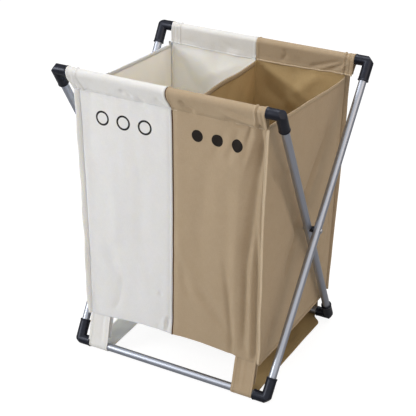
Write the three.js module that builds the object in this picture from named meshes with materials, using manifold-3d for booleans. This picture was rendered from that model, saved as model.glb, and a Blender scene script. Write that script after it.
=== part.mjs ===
import * as THREE from "three";
import { mergeVertices } from "three/addons/utils/BufferGeometryUtils.js";
import Module from "manifold-3d";

// Folding laundry hamper with two cloth bins.
// Millimetres, +Z up, front towards -Y, the origin on the floor under the middle of the hamper.
// Two tube frames cross like scissors and are riveted together at both sides. The fore frame
// carries the front edge of the bag and stands at the back, the aft frame the other way round,
// so one is the other turned half round the upright middle line.

// Frame layout, measured between tube axes.
const top_axis_height = 600;
const top_bar_depth = 370;
const frame_depth_taper = 8;
const frame_width_top = 472;
const frame_width_taper = 38;
const frame_shift = 10;

// Tubes.
const tube_diameter = 16;
const tube_wall = 1.2;
const tube_sides = 32;

// Moulded elbow connectors, measured from the crossing of the two tube axes.
const elbow_diameter = 21;
const elbow_leg_arm = 41;
const elbow_bar_arm = 27;
const elbow_socket_end = 12;
const elbow_corner_cut = 6;
const elbow_lip_height = 0.8;
const elbow_lip_length = 3;
const elbow_lip_land = 1.2;
const elbow_foot_depth = 0.3;
const elbow_sides = 28;

// Pivots: a domed rivet and a saddle spacer on each side.
const rivet_diameter = 5;
const rivet_head_diameter = 9.5;
const rivet_head_height = 2.2;
const rivet_sides = 20;
const rivet_dome_steps = 5;
const spacer_diameter = 13;

// Cloth.
const cloth_thickness = 1.2;
const sleeve_drop = 34;
const sleeve_setback = 6;
const sleeve_seam_band = 5;
const sleeve_end_gap = 2;
const sleeve_steps = 14;
const bag_floor_height = 70;
const bag_leg_clearance = 5;
const bag_front_setback = 16;
const bag_back_reach = 3;
const divider_offset = 3;

// Straps.
const strap_width = 44;
const strap_end_gap = 3;
const strap_steps = 8;

// Fits.
const fit_gap = 0.3;
const socket_end_gap = 0.5;
const cut_overrun = 5;

// Sizes that follow from the ones above.
const tube_radius = tube_diameter / 2;
const elbow_radius = elbow_diameter / 2;
const bottom_axis_height = elbow_radius - elbow_foot_depth;
const bottom_bar_depth = top_bar_depth - frame_depth_taper;
const frame_width_bottom = frame_width_top - frame_width_taper;
const top_to_pivot_share = top_bar_depth / (top_bar_depth + bottom_bar_depth);
const pivot_height = THREE.MathUtils.lerp(top_axis_height, bottom_axis_height, top_to_pivot_share);
const pivot_width = THREE.MathUtils.lerp(frame_width_top, frame_width_bottom, top_to_pivot_share);
const rivet_hole_radius = rivet_diameter / 2 + fit_gap;
const cut_size = (elbow_leg_arm + elbow_diameter) * 4;

const wasm = await Module();
wasm.setup();

const aluminium = () => new THREE.MeshStandardMaterial({ color: 0xb4b8be, roughness: 0.36, metalness: 0.9 });
const plastic = () => new THREE.MeshStandardMaterial({ color: 0x2a2b30, roughness: 0.48, metalness: 0 });
const steel = () => new THREE.MeshStandardMaterial({ color: 0xa9abb0, roughness: 0.3, metalness: 1 });
const cream_cloth = () => new THREE.MeshStandardMaterial({ color: 0xdedcd4, roughness: 0.9, metalness: 0 });
const tan_cloth = () => new THREE.MeshStandardMaterial({ color: 0x9d8365, roughness: 0.9, metalness: 0 });

const part = new THREE.Group();
const alongX = new THREE.Vector3(1, 0, 0);

function addMesh(parent, name, geometry, material, position = new THREE.Vector3()) {
  const mesh = new THREE.Mesh(geometry, material);
  mesh.name = name;
  mesh.position.copy(position);
  parent.add(mesh);
  return mesh;
}

// Only positions, shared corners merged, triangles without area dropped, faces turned outwards.
function tidy(geometry) {
  const bare = geometry.clone();
  for (const name of Object.keys(bare.attributes)) {
    if (name !== "position") bare.deleteAttribute(name);
  }
  const merged = mergeVertices(bare);
  const place = merged.attributes.position;
  const index = merged.index.array;
  const kept = [];
  const a = new THREE.Vector3();
  const b = new THREE.Vector3();
  const c = new THREE.Vector3();
  let volume = 0;
  for (let i = 0; i < index.length; i += 3) {
    const [p, q, r] = [index[i], index[i + 1], index[i + 2]];
    if (p === q || q === r || r === p) continue;
    kept.push(p, q, r);
    a.fromBufferAttribute(place, p);
    b.fromBufferAttribute(place, q);
    c.fromBufferAttribute(place, r);
    volume += a.dot(b.cross(c));
  }
  merged.setIndex(volume < 0 ? kept.reverse() : kept);
  return merged;
}

function toSolid(geometry) {
  const bare = tidy(geometry);
  return new wasm.Manifold(new wasm.Mesh({
    numProp: 3,
    vertProperties: new Float32Array(bare.attributes.position.array),
    triVerts: new Uint32Array(bare.index.array),
  }));
}

function toGeometry(solid) {
  const mesh = solid.getMesh();
  const geometry = new THREE.BufferGeometry();
  geometry.setAttribute("position", new THREE.BufferAttribute(new Float32Array(mesh.vertProperties), 3));
  geometry.setIndex(Array.from(mesh.triVerts));
  geometry.computeVertexNormals();
  return geometry;
}

// A cylinder along any direction, from one distance to another along it.
function rod(radius, direction, from, to, sides, centre = new THREE.Vector3()) {
  const geometry = new THREE.CylinderGeometry(radius, radius, to - from, sides);
  geometry.applyQuaternion(new THREE.Quaternion().setFromUnitVectors(new THREE.Vector3(0, 1, 0), direction));
  const middle = direction.clone().multiplyScalar((from + to) / 2).add(centre);
  return geometry.translate(middle.x, middle.y, middle.z);
}

// A cube whose near face stands square to a direction, at a distance along it.
function cutBeyond(direction, distance) {
  const geometry = new THREE.BoxGeometry(cut_size, cut_size, cut_size);
  geometry.applyQuaternion(new THREE.Quaternion().setFromUnitVectors(new THREE.Vector3(0, 0, 1), direction));
  const middle = direction.clone().multiplyScalar(distance + cut_size / 2);
  return toSolid(geometry.translate(middle.x, middle.y, middle.z));
}

// A solid between two four-cornered outlines, both listed the same way round.
function block(low, high) {
  const corners = [...low, ...high];
  const index = [0, 3, 2, 0, 2, 1, 4, 5, 6, 4, 6, 7];
  for (let i = 0; i < 4; i += 1) {
    const j = (i + 1) % 4;
    index.push(i, j, j + 4, i, j + 4, i + 4);
  }
  const geometry = new THREE.BufferGeometry();
  const numbers = corners.flatMap((corner) => corner.toArray());
  geometry.setAttribute("position", new THREE.Float32BufferAttribute(numbers, 3));
  geometry.setIndex(index);
  return tidy(geometry);
}

// An outline in (y, z) drawn out along x.
function drawnAlongX(shape, from, to) {
  const geometry = new THREE.ExtrudeGeometry(shape, { depth: to - from, bevelEnabled: false, steps: 1 });
  const toX = new THREE.Matrix4().makeBasis(
    new THREE.Vector3(0, 1, 0),
    new THREE.Vector3(0, 0, 1),
    new THREE.Vector3(1, 0, 0),
  );
  return geometry.applyMatrix4(toX).translate(from, 0, 0);
}

// The corners of one frame. Its own top bar is at the front, so the aft frame is a turned copy.
const corner = {
  topLeft: new THREE.Vector3(-frame_width_top / 2 - frame_shift, -top_bar_depth / 2, top_axis_height),
  topRight: new THREE.Vector3(frame_width_top / 2 - frame_shift, -top_bar_depth / 2, top_axis_height),
  bottomLeft: new THREE.Vector3(-frame_width_bottom / 2 - frame_shift, bottom_bar_depth / 2, bottom_axis_height),
  bottomRight: new THREE.Vector3(frame_width_bottom / 2 - frame_shift, bottom_bar_depth / 2, bottom_axis_height),
};

function tube(from, to) {
  const run = new THREE.Vector3().subVectors(to, from);
  const length = run.length() - 2 * (elbow_socket_end + socket_end_gap);
  const ring = new THREE.Shape().absarc(0, 0, tube_radius, 0, Math.PI * 2, false);
  ring.holes.push(new THREE.Path().absarc(0, 0, tube_radius - tube_wall, 0, Math.PI * 2, true));
  const options = { depth: length, bevelEnabled: false, steps: 1, curveSegments: tube_sides / 2 };
  const geometry = new THREE.ExtrudeGeometry(ring, options).translate(0, 0, -length / 2);
  return geometry.applyQuaternion(
    new THREE.Quaternion().setFromUnitVectors(new THREE.Vector3(0, 0, 1), run.normalize()),
  );
}

// An elbow is swept as rings from the mouth on the leg, round a mitre, to the mouth on the bar,
// then bored for both tubes and cut flat across its outer corner. The lower ones get a flat foot.
function elbow(barDirection, legDirection, standsOnFloor) {
  const outward = barDirection.clone().add(legDirection).normalize().negate();
  const sideways = barDirection.clone().cross(legDirection).normalize();
  const halfAngle = barDirection.angleTo(legDirection) / 2;
  const lipRadius = elbow_radius + elbow_lip_height;
  const acrossArm = (direction) => outward.clone().addScaledVector(direction, -outward.dot(direction)).normalize();
  const armRing = (direction, distance, radius) => (turn) => acrossArm(direction)
    .multiplyScalar(Math.cos(turn) * radius)
    .addScaledVector(sideways, Math.sin(turn) * radius)
    .addScaledVector(direction, distance);
  const mitreRing = (turn) => outward.clone()
    .multiplyScalar(Math.cos(turn) * elbow_radius / Math.sin(halfAngle))
    .addScaledVector(sideways, Math.sin(turn) * elbow_radius);
  const rings = [
    armRing(legDirection, elbow_leg_arm, lipRadius),
    armRing(legDirection, elbow_leg_arm - elbow_lip_land, lipRadius),
    armRing(legDirection, elbow_leg_arm - elbow_lip_length, elbow_radius),
    mitreRing,
    armRing(barDirection, elbow_bar_arm - elbow_lip_length, elbow_radius),
    armRing(barDirection, elbow_bar_arm - elbow_lip_land, lipRadius),
    armRing(barDirection, elbow_bar_arm, lipRadius),
  ];
  const numbers = [];
  const index = [];
  for (const ring of rings) {
    for (let i = 0; i < elbow_sides; i += 1) {
      numbers.push(...ring((i / elbow_sides) * Math.PI * 2).toArray());
    }
  }
  for (let k = 0; k + 1 < rings.length; k += 1) {
    for (let i = 0; i < elbow_sides; i += 1) {
      const j = (i + 1) % elbow_sides;
      const [a, b] = [k * elbow_sides + i, k * elbow_sides + j];
      index.push(a, b, b + elbow_sides, a, b + elbow_sides, a + elbow_sides);
    }
  }
  const last = (rings.length - 1) * elbow_sides;
  for (let i = 1; i + 1 < elbow_sides; i += 1) {
    index.push(0, i + 1, i, last, last + i, last + i + 1);
  }
  const body = new THREE.BufferGeometry();
  body.setAttribute("position", new THREE.Float32BufferAttribute(numbers, 3));
  body.setIndex(index);
  let solid = toSolid(body).subtract(cutBeyond(outward, elbow_corner_cut));
  for (const [direction, arm] of [[legDirection, elbow_leg_arm], [barDirection, elbow_bar_arm]]) {
    const bore = rod(tube_radius + fit_gap, direction, elbow_socket_end, arm + cut_overrun, elbow_sides);
    solid = solid.subtract(toSolid(bore));
  }
  if (standsOnFloor) solid = solid.subtract(cutBeyond(new THREE.Vector3(0, 0, -1), bottom_axis_height));
  return toGeometry(solid);
}

// One frame: two legs, two bars and four elbows. Turned half round, left becomes right.
function addFrame(name, turned) {
  const frame = new THREE.Group();
  frame.rotation.z = turned ? Math.PI : 0;
  part.add(frame);
  const side = (isLeft) => (isLeft !== turned ? "left" : "right");
  const middle = (from, to) => new THREE.Vector3().addVectors(from, to).divideScalar(2);
  const pivotLine = new THREE.Vector3(0, 0, pivot_height);
  for (const isLeft of [true, false]) {
    const top = isLeft ? corner.topLeft : corner.topRight;
    const bottom = isLeft ? corner.bottomLeft : corner.bottomRight;
    const across = new THREE.Vector3(isLeft ? 1 : -1, 0, 0);
    const down = new THREE.Vector3().subVectors(bottom, top).normalize();
    const centre = middle(top, bottom);
    const hole = rod(rivet_hole_radius, alongX, -cut_size, cut_size, rivet_sides, pivotLine);
    hole.translate(0, -centre.y, -centre.z);
    const leg = toSolid(tube(top, bottom)).subtract(toSolid(hole));
    addMesh(frame, `${name}_leg_${side(isLeft)}`, toGeometry(leg), aluminium(), centre);
    addMesh(frame, `${name}_elbow_top_${side(isLeft)}`, elbow(across, down, false), plastic(), top);
    const lower = elbow(across, down.clone().negate(), true);
    addMesh(frame, `${name}_elbow_bottom_${side(isLeft)}`, lower, plastic(), bottom);
  }
  const topBar = tube(corner.topLeft, corner.topRight);
  addMesh(frame, `${name}_top_bar`, topBar, aluminium(), middle(corner.topLeft, corner.topRight));
  const bottomBar = tube(corner.bottomLeft, corner.bottomRight);
  addMesh(frame, `${name}_bottom_bar`, bottomBar, aluminium(), middle(corner.bottomLeft, corner.bottomRight));
}

// The rivet runs from the inside of the inner leg to the outside of the outer leg.
function rivet() {
  const innerFace = pivot_width / 2 - frame_shift - tube_radius - fit_gap;
  const outerFace = pivot_width / 2 + frame_shift + tube_radius + fit_gap;
  const outline = [];
  const dome = (face, sign, from, to) => {
    for (let i = 0; i <= rivet_dome_steps; i += 1) {
      const turn = THREE.MathUtils.lerp(from, to, i / rivet_dome_steps);
      const reach = Math.cos(turn) * rivet_head_diameter / 2;
      outline.push(new THREE.Vector2(i === 0 && from > to ? 0 : reach, face + sign * Math.sin(turn) * rivet_head_height));
    }
  };
  dome(innerFace, -1, Math.PI / 2, 0);
  outline.push(new THREE.Vector2(rivet_diameter / 2, innerFace));
  outline.push(new THREE.Vector2(rivet_diameter / 2, outerFace));
  dome(outerFace, 1, 0, Math.PI / 2);
  outline[outline.length - 1].x = 0;
  const geometry = new THREE.LatheGeometry(outline, rivet_sides);
  return tidy(geometry.rotateZ(-Math.PI / 2));
}

// The spacer sits in a saddle on the inner leg and ends just short of the outer one.
function spacer() {
  const innerAxis = pivot_width / 2 - frame_shift;
  const outerFace = pivot_width / 2 + frame_shift - tube_radius - fit_gap;
  const legRun = new THREE.Vector3().subVectors(corner.topRight, corner.bottomRight).normalize();
  const disc = toSolid(rod(spacer_diameter / 2, alongX, innerAxis, outerFace, elbow_sides));
  const onAxis = new THREE.Vector3(innerAxis, 0, 0);
  const saddle = toSolid(rod(tube_radius + fit_gap, legRun, -cut_size, cut_size, elbow_sides, onAxis));
  const hole = toSolid(rod(rivet_hole_radius, alongX, 0, outerFace + cut_overrun, rivet_sides));
  return toGeometry(disc.subtract(saddle).subtract(hole));
}

function addPivot(turned) {
  const pivot = new THREE.Group();
  pivot.rotation.z = turned ? Math.PI : 0;
  pivot.position.z = pivot_height;
  part.add(pivot);
  const side = turned ? "left" : "right";
  addMesh(pivot, `pivot_rivet_${side}`, rivet(), steel());
  addMesh(pivot, `pivot_spacer_${side}`, spacer(), plastic());
}

addFrame("fore", false);
addFrame("aft", true);
addPivot(false);
addPivot(true);

// Where the cloth starts and ends along each bar: just clear of the elbow mouths.
const top_mouth = frame_width_top / 2 - elbow_bar_arm;
const bottom_mouth = frame_width_bottom / 2 - elbow_bar_arm;
const sleeve_half = top_mouth - sleeve_end_gap;
const seam_height = top_axis_height - sleeve_drop;

// Where a line from a point touches a circle round the origin, as an angle.
function touchAngle(point, radius, sense) {
  return Math.atan2(point.y, point.x) + sense * Math.acos(radius / point.length());
}

// A drop-shaped outline round a bar, from one foot of the sewn band over the top to the other.
// The band hangs a little to the inside of the bar, where the wall of the bag pulls it.
function dropOutline(radius, footHalf, footDrop, footShift) {
  const foot = new THREE.Vector2(footShift + footHalf, -footDrop);
  const otherFoot = new THREE.Vector2(footShift - footHalf, -footDrop);
  const start = touchAngle(foot, radius, 1);
  const end = touchAngle(otherFoot, radius, -1) + Math.PI * 2;
  const points = [foot];
  for (let i = 0; i <= sleeve_steps; i += 1) {
    const turn = THREE.MathUtils.lerp(start, end, i / sleeve_steps);
    points.push(new THREE.Vector2(Math.cos(turn) * radius, Math.sin(turn) * radius));
  }
  if (footHalf > 0) points.push(otherFoot);
  return points;
}

function sleeve(from, to, setback) {
  const inner = tube_radius + fit_gap;
  const bandTop = sleeve_drop - sleeve_seam_band;
  const shape = new THREE.Shape(dropOutline(inner + cloth_thickness, cloth_thickness, sleeve_drop, setback));
  shape.holes.push(new THREE.Path(dropOutline(inner, 0, bandTop, setback)));
  return drawnAlongX(shape, from, to);
}

const seam_half = fit_gap / 2;

for (const [end, sign] of [["front", -1], ["rear", 1]]) {
  const place = new THREE.Vector3(0, sign * top_bar_depth / 2, top_axis_height);
  const shift = sign * frame_shift;
  const setback = -sign * sleeve_setback;
  const light = sleeve(shift - sleeve_half, divider_offset - seam_half, setback);
  const dark = sleeve(divider_offset + seam_half, shift + sleeve_half, setback);
  addMesh(part, `${end}_sleeve_light`, light, cream_cloth(), place);
  addMesh(part, `${end}_sleeve_dark`, dark, tan_cloth(), place);
}

// The floor of the bag clears the inner legs where they pass it.
const top_to_floor_share = (top_axis_height - bag_floor_height) / (top_axis_height - bottom_axis_height);
const width_at_floor = THREE.MathUtils.lerp(frame_width_top, frame_width_bottom, top_to_floor_share);
const bag_floor_half = width_at_floor / 2 - frame_shift - tube_radius - bag_leg_clearance;
const bag_floor_front = bottom_bar_depth / 2 - bag_front_setback;
const bag_floor_back = bottom_bar_depth / 2 + bag_back_reach;
const bag_top_reach = top_bar_depth / 2 - sleeve_setback + cloth_thickness;
// The bag is square in plan: it keeps between the inner ends of its sleeves, and their outer
// ends stand past its corners.
const bag_top_half = sleeve_half - frame_shift;

// The four corners of the bag at its top edge and at its floor, moved in by a cloth thickness
// for its inside, with one side put on the join between the two colours.
function bagOutline(atTop, height, inset, leftX, rightX) {
  const half = (atTop ? bag_top_half : bag_floor_half) - inset;
  const frontY = inset - (atTop ? bag_top_reach : bag_floor_front);
  const backY = (atTop ? bag_top_reach : bag_floor_back) - inset;
  return [
    new THREE.Vector3(leftX ?? -half, frontY, height),
    new THREE.Vector3(rightX ?? half, frontY, height),
    new THREE.Vector3(rightX ?? half, backY, height),
    new THREE.Vector3(leftX ?? -half, backY, height),
  ];
}

const bag_top = seam_height - fit_gap;

function bin(isLight) {
  const join = divider_offset + (isLight ? -seam_half : seam_half);
  const past = divider_offset + (isLight ? cut_overrun : -cut_overrun);
  const ends = (x) => (isLight ? [undefined, x] : [x, undefined]);
  const outside = block(
    bagOutline(false, bag_floor_height, 0, ...ends(join)),
    bagOutline(true, bag_top, 0, ...ends(join)),
  );
  // the cavity follows the same walls, drawn on past the top edge
  const low = bagOutline(false, bag_floor_height, cloth_thickness, ...ends(past));
  const high = bagOutline(true, bag_top, cloth_thickness, ...ends(past));
  const risen = cloth_thickness / (bag_top - bag_floor_height);
  const over = 1 + cut_overrun / (bag_top - bag_floor_height);
  const inside = block(
    low.map((point, i) => point.clone().lerp(high[i], risen)),
    low.map((point, i) => point.clone().lerp(high[i], over)),
  );
  return toGeometry(toSolid(outside).subtract(toSolid(inside)));
}

addMesh(part, "light_bin", bin(true), cream_cloth());
addMesh(part, "dark_bin", bin(false), tan_cloth());

// The divider hangs between the front and back walls and stands on the floor cloth.
const divider_sides = [divider_offset - cloth_thickness / 2, divider_offset + cloth_thickness / 2];
const divider_inset = cloth_thickness + fit_gap;
const divider = block(
  bagOutline(false, bag_floor_height + divider_inset, divider_inset, ...divider_sides),
  bagOutline(true, bag_top, divider_inset, ...divider_sides),
);
addMesh(part, "divider", divider, tan_cloth());

// A band of even thickness along points in (y, z).
function bandShape(points) {
  const left = [];
  const right = [];
  points.forEach((point, i) => {
    const before = points[Math.max(i - 1, 0)];
    const after = points[Math.min(i + 1, points.length - 1)];
    const along = new THREE.Vector2().subVectors(after, before).normalize();
    const aside = new THREE.Vector2(-along.y, along.x).multiplyScalar(cloth_thickness / 2);
    left.push(point.clone().add(aside));
    right.unshift(point.clone().sub(aside));
  });
  return new THREE.Shape([...left, ...right]);
}

// Each strap comes down from the bag's bottom edge, passes under both bottom bars and goes up again.
const wrap_radius = tube_radius + fit_gap + cloth_thickness / 2;
const strap_lie = bottom_axis_height - wrap_radius;

function strapTab(sign, reach, from, to) {
  const barY = bottom_bar_depth / 2;
  const start = new THREE.Vector2(reach - cloth_thickness / 2 - barY, bag_floor_height - fit_gap - bottom_axis_height);
  const touch = touchAngle(start, wrap_radius, -1);
  const points = [start];
  for (let i = 0; i <= strap_steps; i += 1) {
    const turn = THREE.MathUtils.lerp(touch, -Math.PI / 2, i / strap_steps);
    points.push(new THREE.Vector2(Math.cos(turn) * wrap_radius, Math.sin(turn) * wrap_radius));
  }
  const placed = points.map((point) => new THREE.Vector2(sign * (point.x + barY), point.y + bottom_axis_height));
  return tidy(drawnAlongX(bandShape(placed), from, to));
}

const strap_colours = [["light", -1, cream_cloth], ["dark", 1, tan_cloth]];
for (const [name, sign, cloth] of strap_colours) {
  const outer = sign * (bottom_mouth - strap_end_gap);
  const inner = outer - sign * strap_width;
  const [low, high] = sign < 0 ? [outer, inner] : [inner, outer];
  const barY = bottom_bar_depth / 2 - seam_half;
  const front = strapTab(-1, bag_floor_front, low + frame_shift, high + frame_shift);
  const back = strapTab(1, bag_floor_back, low - frame_shift, high - frame_shift);
  const flat = (height) => [
    new THREE.Vector3(low + frame_shift, -barY, height),
    new THREE.Vector3(high + frame_shift, -barY, height),
    new THREE.Vector3(high - frame_shift, barY, height),
    new THREE.Vector3(low - frame_shift, barY, height),
  ];
  const ribbon = block(flat(strap_lie - cloth_thickness / 2), flat(strap_lie + cloth_thickness / 2));
  addMesh(part, `strap_front_${name}`, front, cloth());
  addMesh(part, `strap_floor_${name}`, ribbon, cloth());
  addMesh(part, `strap_rear_${name}`, back, cloth());
}

export default part;
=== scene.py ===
import math

import bmesh
import bpy
import numpy as np
from mathutils import Matrix, Vector, noise


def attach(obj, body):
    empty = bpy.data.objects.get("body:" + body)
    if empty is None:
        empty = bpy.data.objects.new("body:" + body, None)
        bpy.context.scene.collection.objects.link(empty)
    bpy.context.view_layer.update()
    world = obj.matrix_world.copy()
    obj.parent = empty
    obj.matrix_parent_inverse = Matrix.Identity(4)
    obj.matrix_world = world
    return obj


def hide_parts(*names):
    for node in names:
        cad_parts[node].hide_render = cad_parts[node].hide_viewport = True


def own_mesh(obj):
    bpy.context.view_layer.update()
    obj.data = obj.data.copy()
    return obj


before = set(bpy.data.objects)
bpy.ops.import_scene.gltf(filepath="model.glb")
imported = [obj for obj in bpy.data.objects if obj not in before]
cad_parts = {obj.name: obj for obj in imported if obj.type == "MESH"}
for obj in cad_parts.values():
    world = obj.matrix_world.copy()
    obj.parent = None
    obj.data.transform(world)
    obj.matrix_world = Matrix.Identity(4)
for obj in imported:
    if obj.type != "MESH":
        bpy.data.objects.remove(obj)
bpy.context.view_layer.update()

# Sizes in metres, the same as the solids' own where both have them.
# the frames: how high, how far out from the middle and half how wide their bars lie
BAR_HEIGHT, BAR_REACH, BAR_HALF = 0.600, 0.185, 0.236
FOOT_HEIGHT, FOOT_REACH, FOOT_HALF = 0.0102, 0.181, 0.217
FRAME_SHIFT = 0.010
TUBE_RADIUS, TUBE_FIT, TUBE_END = 0.008, 0.0003, 0.0125
ELBOW_RADIUS, ELBOW_LEG_ARM, ELBOW_BAR_ARM, ELBOW_ARM_START = 0.0105, 0.041, 0.027, 0.0165
ELBOW_LIP, ELBOW_CORNER_CUT, ELBOW_BORE, ELBOW_ROUNDING = 0.0008, 0.006, 0.0083, 0.0009
PIVOT_HEIGHT, PIVOT_HALF = 0.3019, 0.2264
RIVET_HEAD, RIVET_SHANK, RIVET_DOME, RIVET_SINK = 0.0045, 0.0025, 0.0020, 0.0004
# the bag: its cloth, its walls and the line where its two colours meet
CLOTH, TAB_CLOTH, RIBBON_CLOTH = 0.0011, 0.0012, 0.0010
SEAM_HEIGHT, HEM_HEIGHT = 0.566, 0.07
FRONT_TOP_Y, FRONT_FLOOR_Y = -0.1802, -0.165
REAR_TOP_Y, REAR_FLOOR_Y = 0.1802, 0.184
HALF_BAG, SIDE_START, SIDE_RUN = 0.194, -0.172, 0.346
CORNER_RADIUS = 0.0045
JOIN, JOIN_GAP, CORD_RADIUS = 0.003, 0.0002, 0.0012
# welts, hems and seam allowances: how tall and thick they are, and where they sit
WELT, WELT_STITCH, UNDER_WELT = 0.0023, 0.00125, 0.0022
HEM_TALL, HEM_THICK, HEM_DROP, HEM_STITCH = 0.0078, 0.0027, 0.0072, 0.0014
ALLOWANCE_TALL, ALLOWANCE_THICK = 0.0042, 0.0018
DIVIDER_HEM_TALL, DIVIDER_HEM_THICK, DIVIDER_HEM_DROP, DIVIDER_HEM_STITCH = 0.0100, 0.0028, 0.0092, 0.00145
DIVIDER_FRONT_GAP, DIVIDER_REAR_GAP = 0.0056, 0.0052
SLEEVE_INNER, SLEEVE_OUTER = 0.2002, 0.2182
SLEEVE_HEM_TALL, SLEEVE_HEM_THICK = 0.0030, {"cream": 0.0016, "tan": 0.0026}
RIBBON_WIDTH, RIBBON_HEIGHT = 0.044, 0.0018
STITCH_PITCH, STITCH_LENGTH, THREAD, THREAD_LIFT = 0.0034, 0.0026, 0.00055, 0.0001
# how finely things are divided; the grids as columns and rows
ELBOW_SIDES, PIVOT_SIDES, TUBE_SIDES, CORD_SIDES = 56, 40, 64, 10
WALL_ROWS, CORNER_STEPS = 118, 5
FLOOR_GRID, DIVIDER_GRID, TAB_GRID, RIBBON_GRID = (64, 84), (92, 96), (46, 60), (34, 120)
UP, SIDEWAYS = (0, 0, 1.0), (1.0, 0, 0)
QUARTER = math.pi / 2

# How cloth closes up when the hamper folds: the direction, the place that stays and the share that is left.
# The tan ribbon's direction leans a little inwards, to keep it clear of the elbows. Here these only mark a
# piece as folding, which gives it a mesh of its own.
BAG_FOLD = ((0, 1, 0), (0, FRONT_TOP_Y, 0), 0.171)
RIBBON_FOLD = {"cream": ((0, 1, 0), (0, -FOOT_REACH, 0), 0.192),
               "tan": ((0.0872, 0.9962, 0), (0.176, -FOOT_REACH, 0), 0.1816)}


# ---------------------------------------------------------------- materials

def add_node(tree, kind, settings=None, inputs=None):
    """A node with its settings, and its inputs linked to sockets or set to values."""
    made = tree.nodes.new(kind)
    for name, value in (settings or {}).items():
        setattr(made, name, value)
    for name, value in (inputs or {}).items():
        value = getattr(value, "socket", value)
        if isinstance(value, bpy.types.NodeSocket):
            tree.links.new(value, made.inputs[name])
        else:
            made.inputs[name].default_value = value
    return made


def sum_node(operation, swapped=False):
    """A method that does a sum in the material, with the other value first if swapped."""
    def made(self, value=0.0):
        first, second = (value, self) if swapped else (self, value)
        return self.node("ShaderNodeMath", {"operation": operation}, {0: first, 1: second})
    return made


class Shade:
    """A value in a material that adds, multiplies and compares like a number."""

    __add__ = __radd__ = sum_node("ADD")
    __sub__, __rsub__ = sum_node("SUBTRACT"), sum_node("SUBTRACT", swapped=True)
    __mul__, __pow__ = sum_node("MULTIPLY"), sum_node("POWER")
    size, larger, sine = sum_node("ABSOLUTE"), sum_node("MAXIMUM"), sum_node("SINE")

    def __init__(self, tree, socket=None):
        self.tree, self.socket = tree, socket

    def node(self, kind, settings=None, inputs=None, output=0):
        made = add_node(self.tree, kind, settings, inputs)
        return Shade(self.tree, made.outputs[output] if len(made.outputs) else None)

    def other(self, output):
        return Shade(self.tree, self.socket.node.outputs[output])

    def place(self):
        """The place on the piece, in metres."""
        return self.node("ShaderNodeTexCoord", output=3)

    def wave(self, length):
        """A sine wave of this half length."""
        return (self * (math.pi / length)).sine()

    def between(self, low, high):
        """0 below low, 1 above high, and a soft step from one to the other."""
        return self.node("ShaderNodeMapRange", {"interpolation_type": "SMOOTHSTEP"},
                         {"Value": self, "From Min": low, "From Max": high})

    def stretched(self, *by):
        return self.node("ShaderNodeVectorMath", {"operation": "MULTIPLY"}, {0: self, 1: by})

    def cloudy(self, scale, detail=2.0, roughness=0.5):
        """Even noise between 0 and 1 on this vector."""
        return self.node("ShaderNodeTexNoise", {"noise_dimensions": "3D"},
                         {"Vector": self, "Scale": scale, "Detail": detail, "Roughness": roughness})

    def mix(self, low, high):
        """Two colours mixed by this factor."""
        return self.node("ShaderNodeMix", {"data_type": "RGBA"}, {0: self, 6: low, 7: high}, output=2)


def paint(red, green, blue):
    """A colour read off a screen, 0 to 255, as the shader's own linear colour."""
    def linear(value):
        value /= 255
        return value / 12.92 if value <= 0.04045 else ((value + 0.055) / 1.055) ** 2.4
    return (linear(red), linear(green), linear(blue), 1.0)


def grey(level, blue=None):
    """A grey of this level, with a little more blue if that is given."""
    return (level, level, blue or level, 1)


def new_finish(name):
    material = bpy.data.materials.new(name)
    material.use_nodes = True
    material.node_tree.nodes.clear()
    return material, Shade(material.node_tree)


def surface(start, inputs, height=None, depth=0.0001, strength=1.0):
    if height is not None:
        inputs["Normal"] = start.node("ShaderNodeBump", {}, {
            "Height": height, "Distance": depth, "Strength": strength})
    shader = start.node("ShaderNodeBsdfPrincipled", {}, inputs)
    start.node("ShaderNodeOutputMaterial", {}, {"Surface": shader})


def printed(start, across, along, weave, fluff, spots):
    """How much ink is on the cloth. Each spot has a place, a radius and, if it is a ring, its stroke."""
    bleed = (fluff - 0.5) * 0.0004 + (weave - 0.5) * 0.00025
    ink = None
    for x, z, radius, stroke in spots:
        off_x, off_z = across - x, along - z
        away = (off_x * off_x + off_z * off_z) ** 0.5 + bleed
        if stroke:
            away = (away - (radius - stroke / 2)).size()
            radius = stroke / 2
        spot = 1 - away.between(radius - 0.00025, radius + 0.00025)
        ink = spot if ink is None else ink.larger(spot)
    return ink


def woven_cloth(name, pale, deep, glow=0.3, spots=()):
    """Plain weave drawn on the cloth's flat coordinates, in metres. glow is how far light gets through."""
    yarn = 0.00085
    material, start = new_finish(name)
    flat = start.node("ShaderNodeUVMap", {"uv_map": "cloth"})
    across = start.node("ShaderNodeSeparateXYZ", {}, {0: flat})
    along = across.other(1)
    warp, weft = across.wave(yarn), along.wave(yarn)
    over = warp * weft * 0.5 + 0.5
    weave = (warp.size() * over).larger(weft.size() * (1 - over))
    slub_across = flat.stretched(95, 1250, 1).cloudy(1.0)
    slub_along = flat.stretched(1250, 95, 1).cloudy(1.0)
    fluff = flat.cloudy(2600, 3.0, 0.7)
    mottle = flat.cloudy(26, 3.0, 0.55)
    soft = (slub_across * 0.38 + slub_along * 0.38 + mottle * 0.24 + weave * 0.16 - 0.08).between(0.25, 0.75)
    colour = soft.mix(paint(*deep), paint(*pale))
    rough = fluff * 0.1 + 0.84
    if spots:
        ink = printed(start, across, along, weave, fluff, spots)
        colour = (ink * (0.93 + weave * 0.07)).mix(colour, paint(24, 23, 26))
        rough = rough - ink * 0.14
    surface(start, {"Base Color": colour, "Roughness": rough, "Specular IOR Level": 0.04,
                    "Subsurface Weight": glow, "Subsurface Radius": (1.0, 0.86, 0.62),
                    "Subsurface Scale": 0.003},
            weave * 0.75 + fluff * 0.25 + slub_across * 0.2 + slub_along * 0.2, 0.00016, 0.7)
    return material


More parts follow.
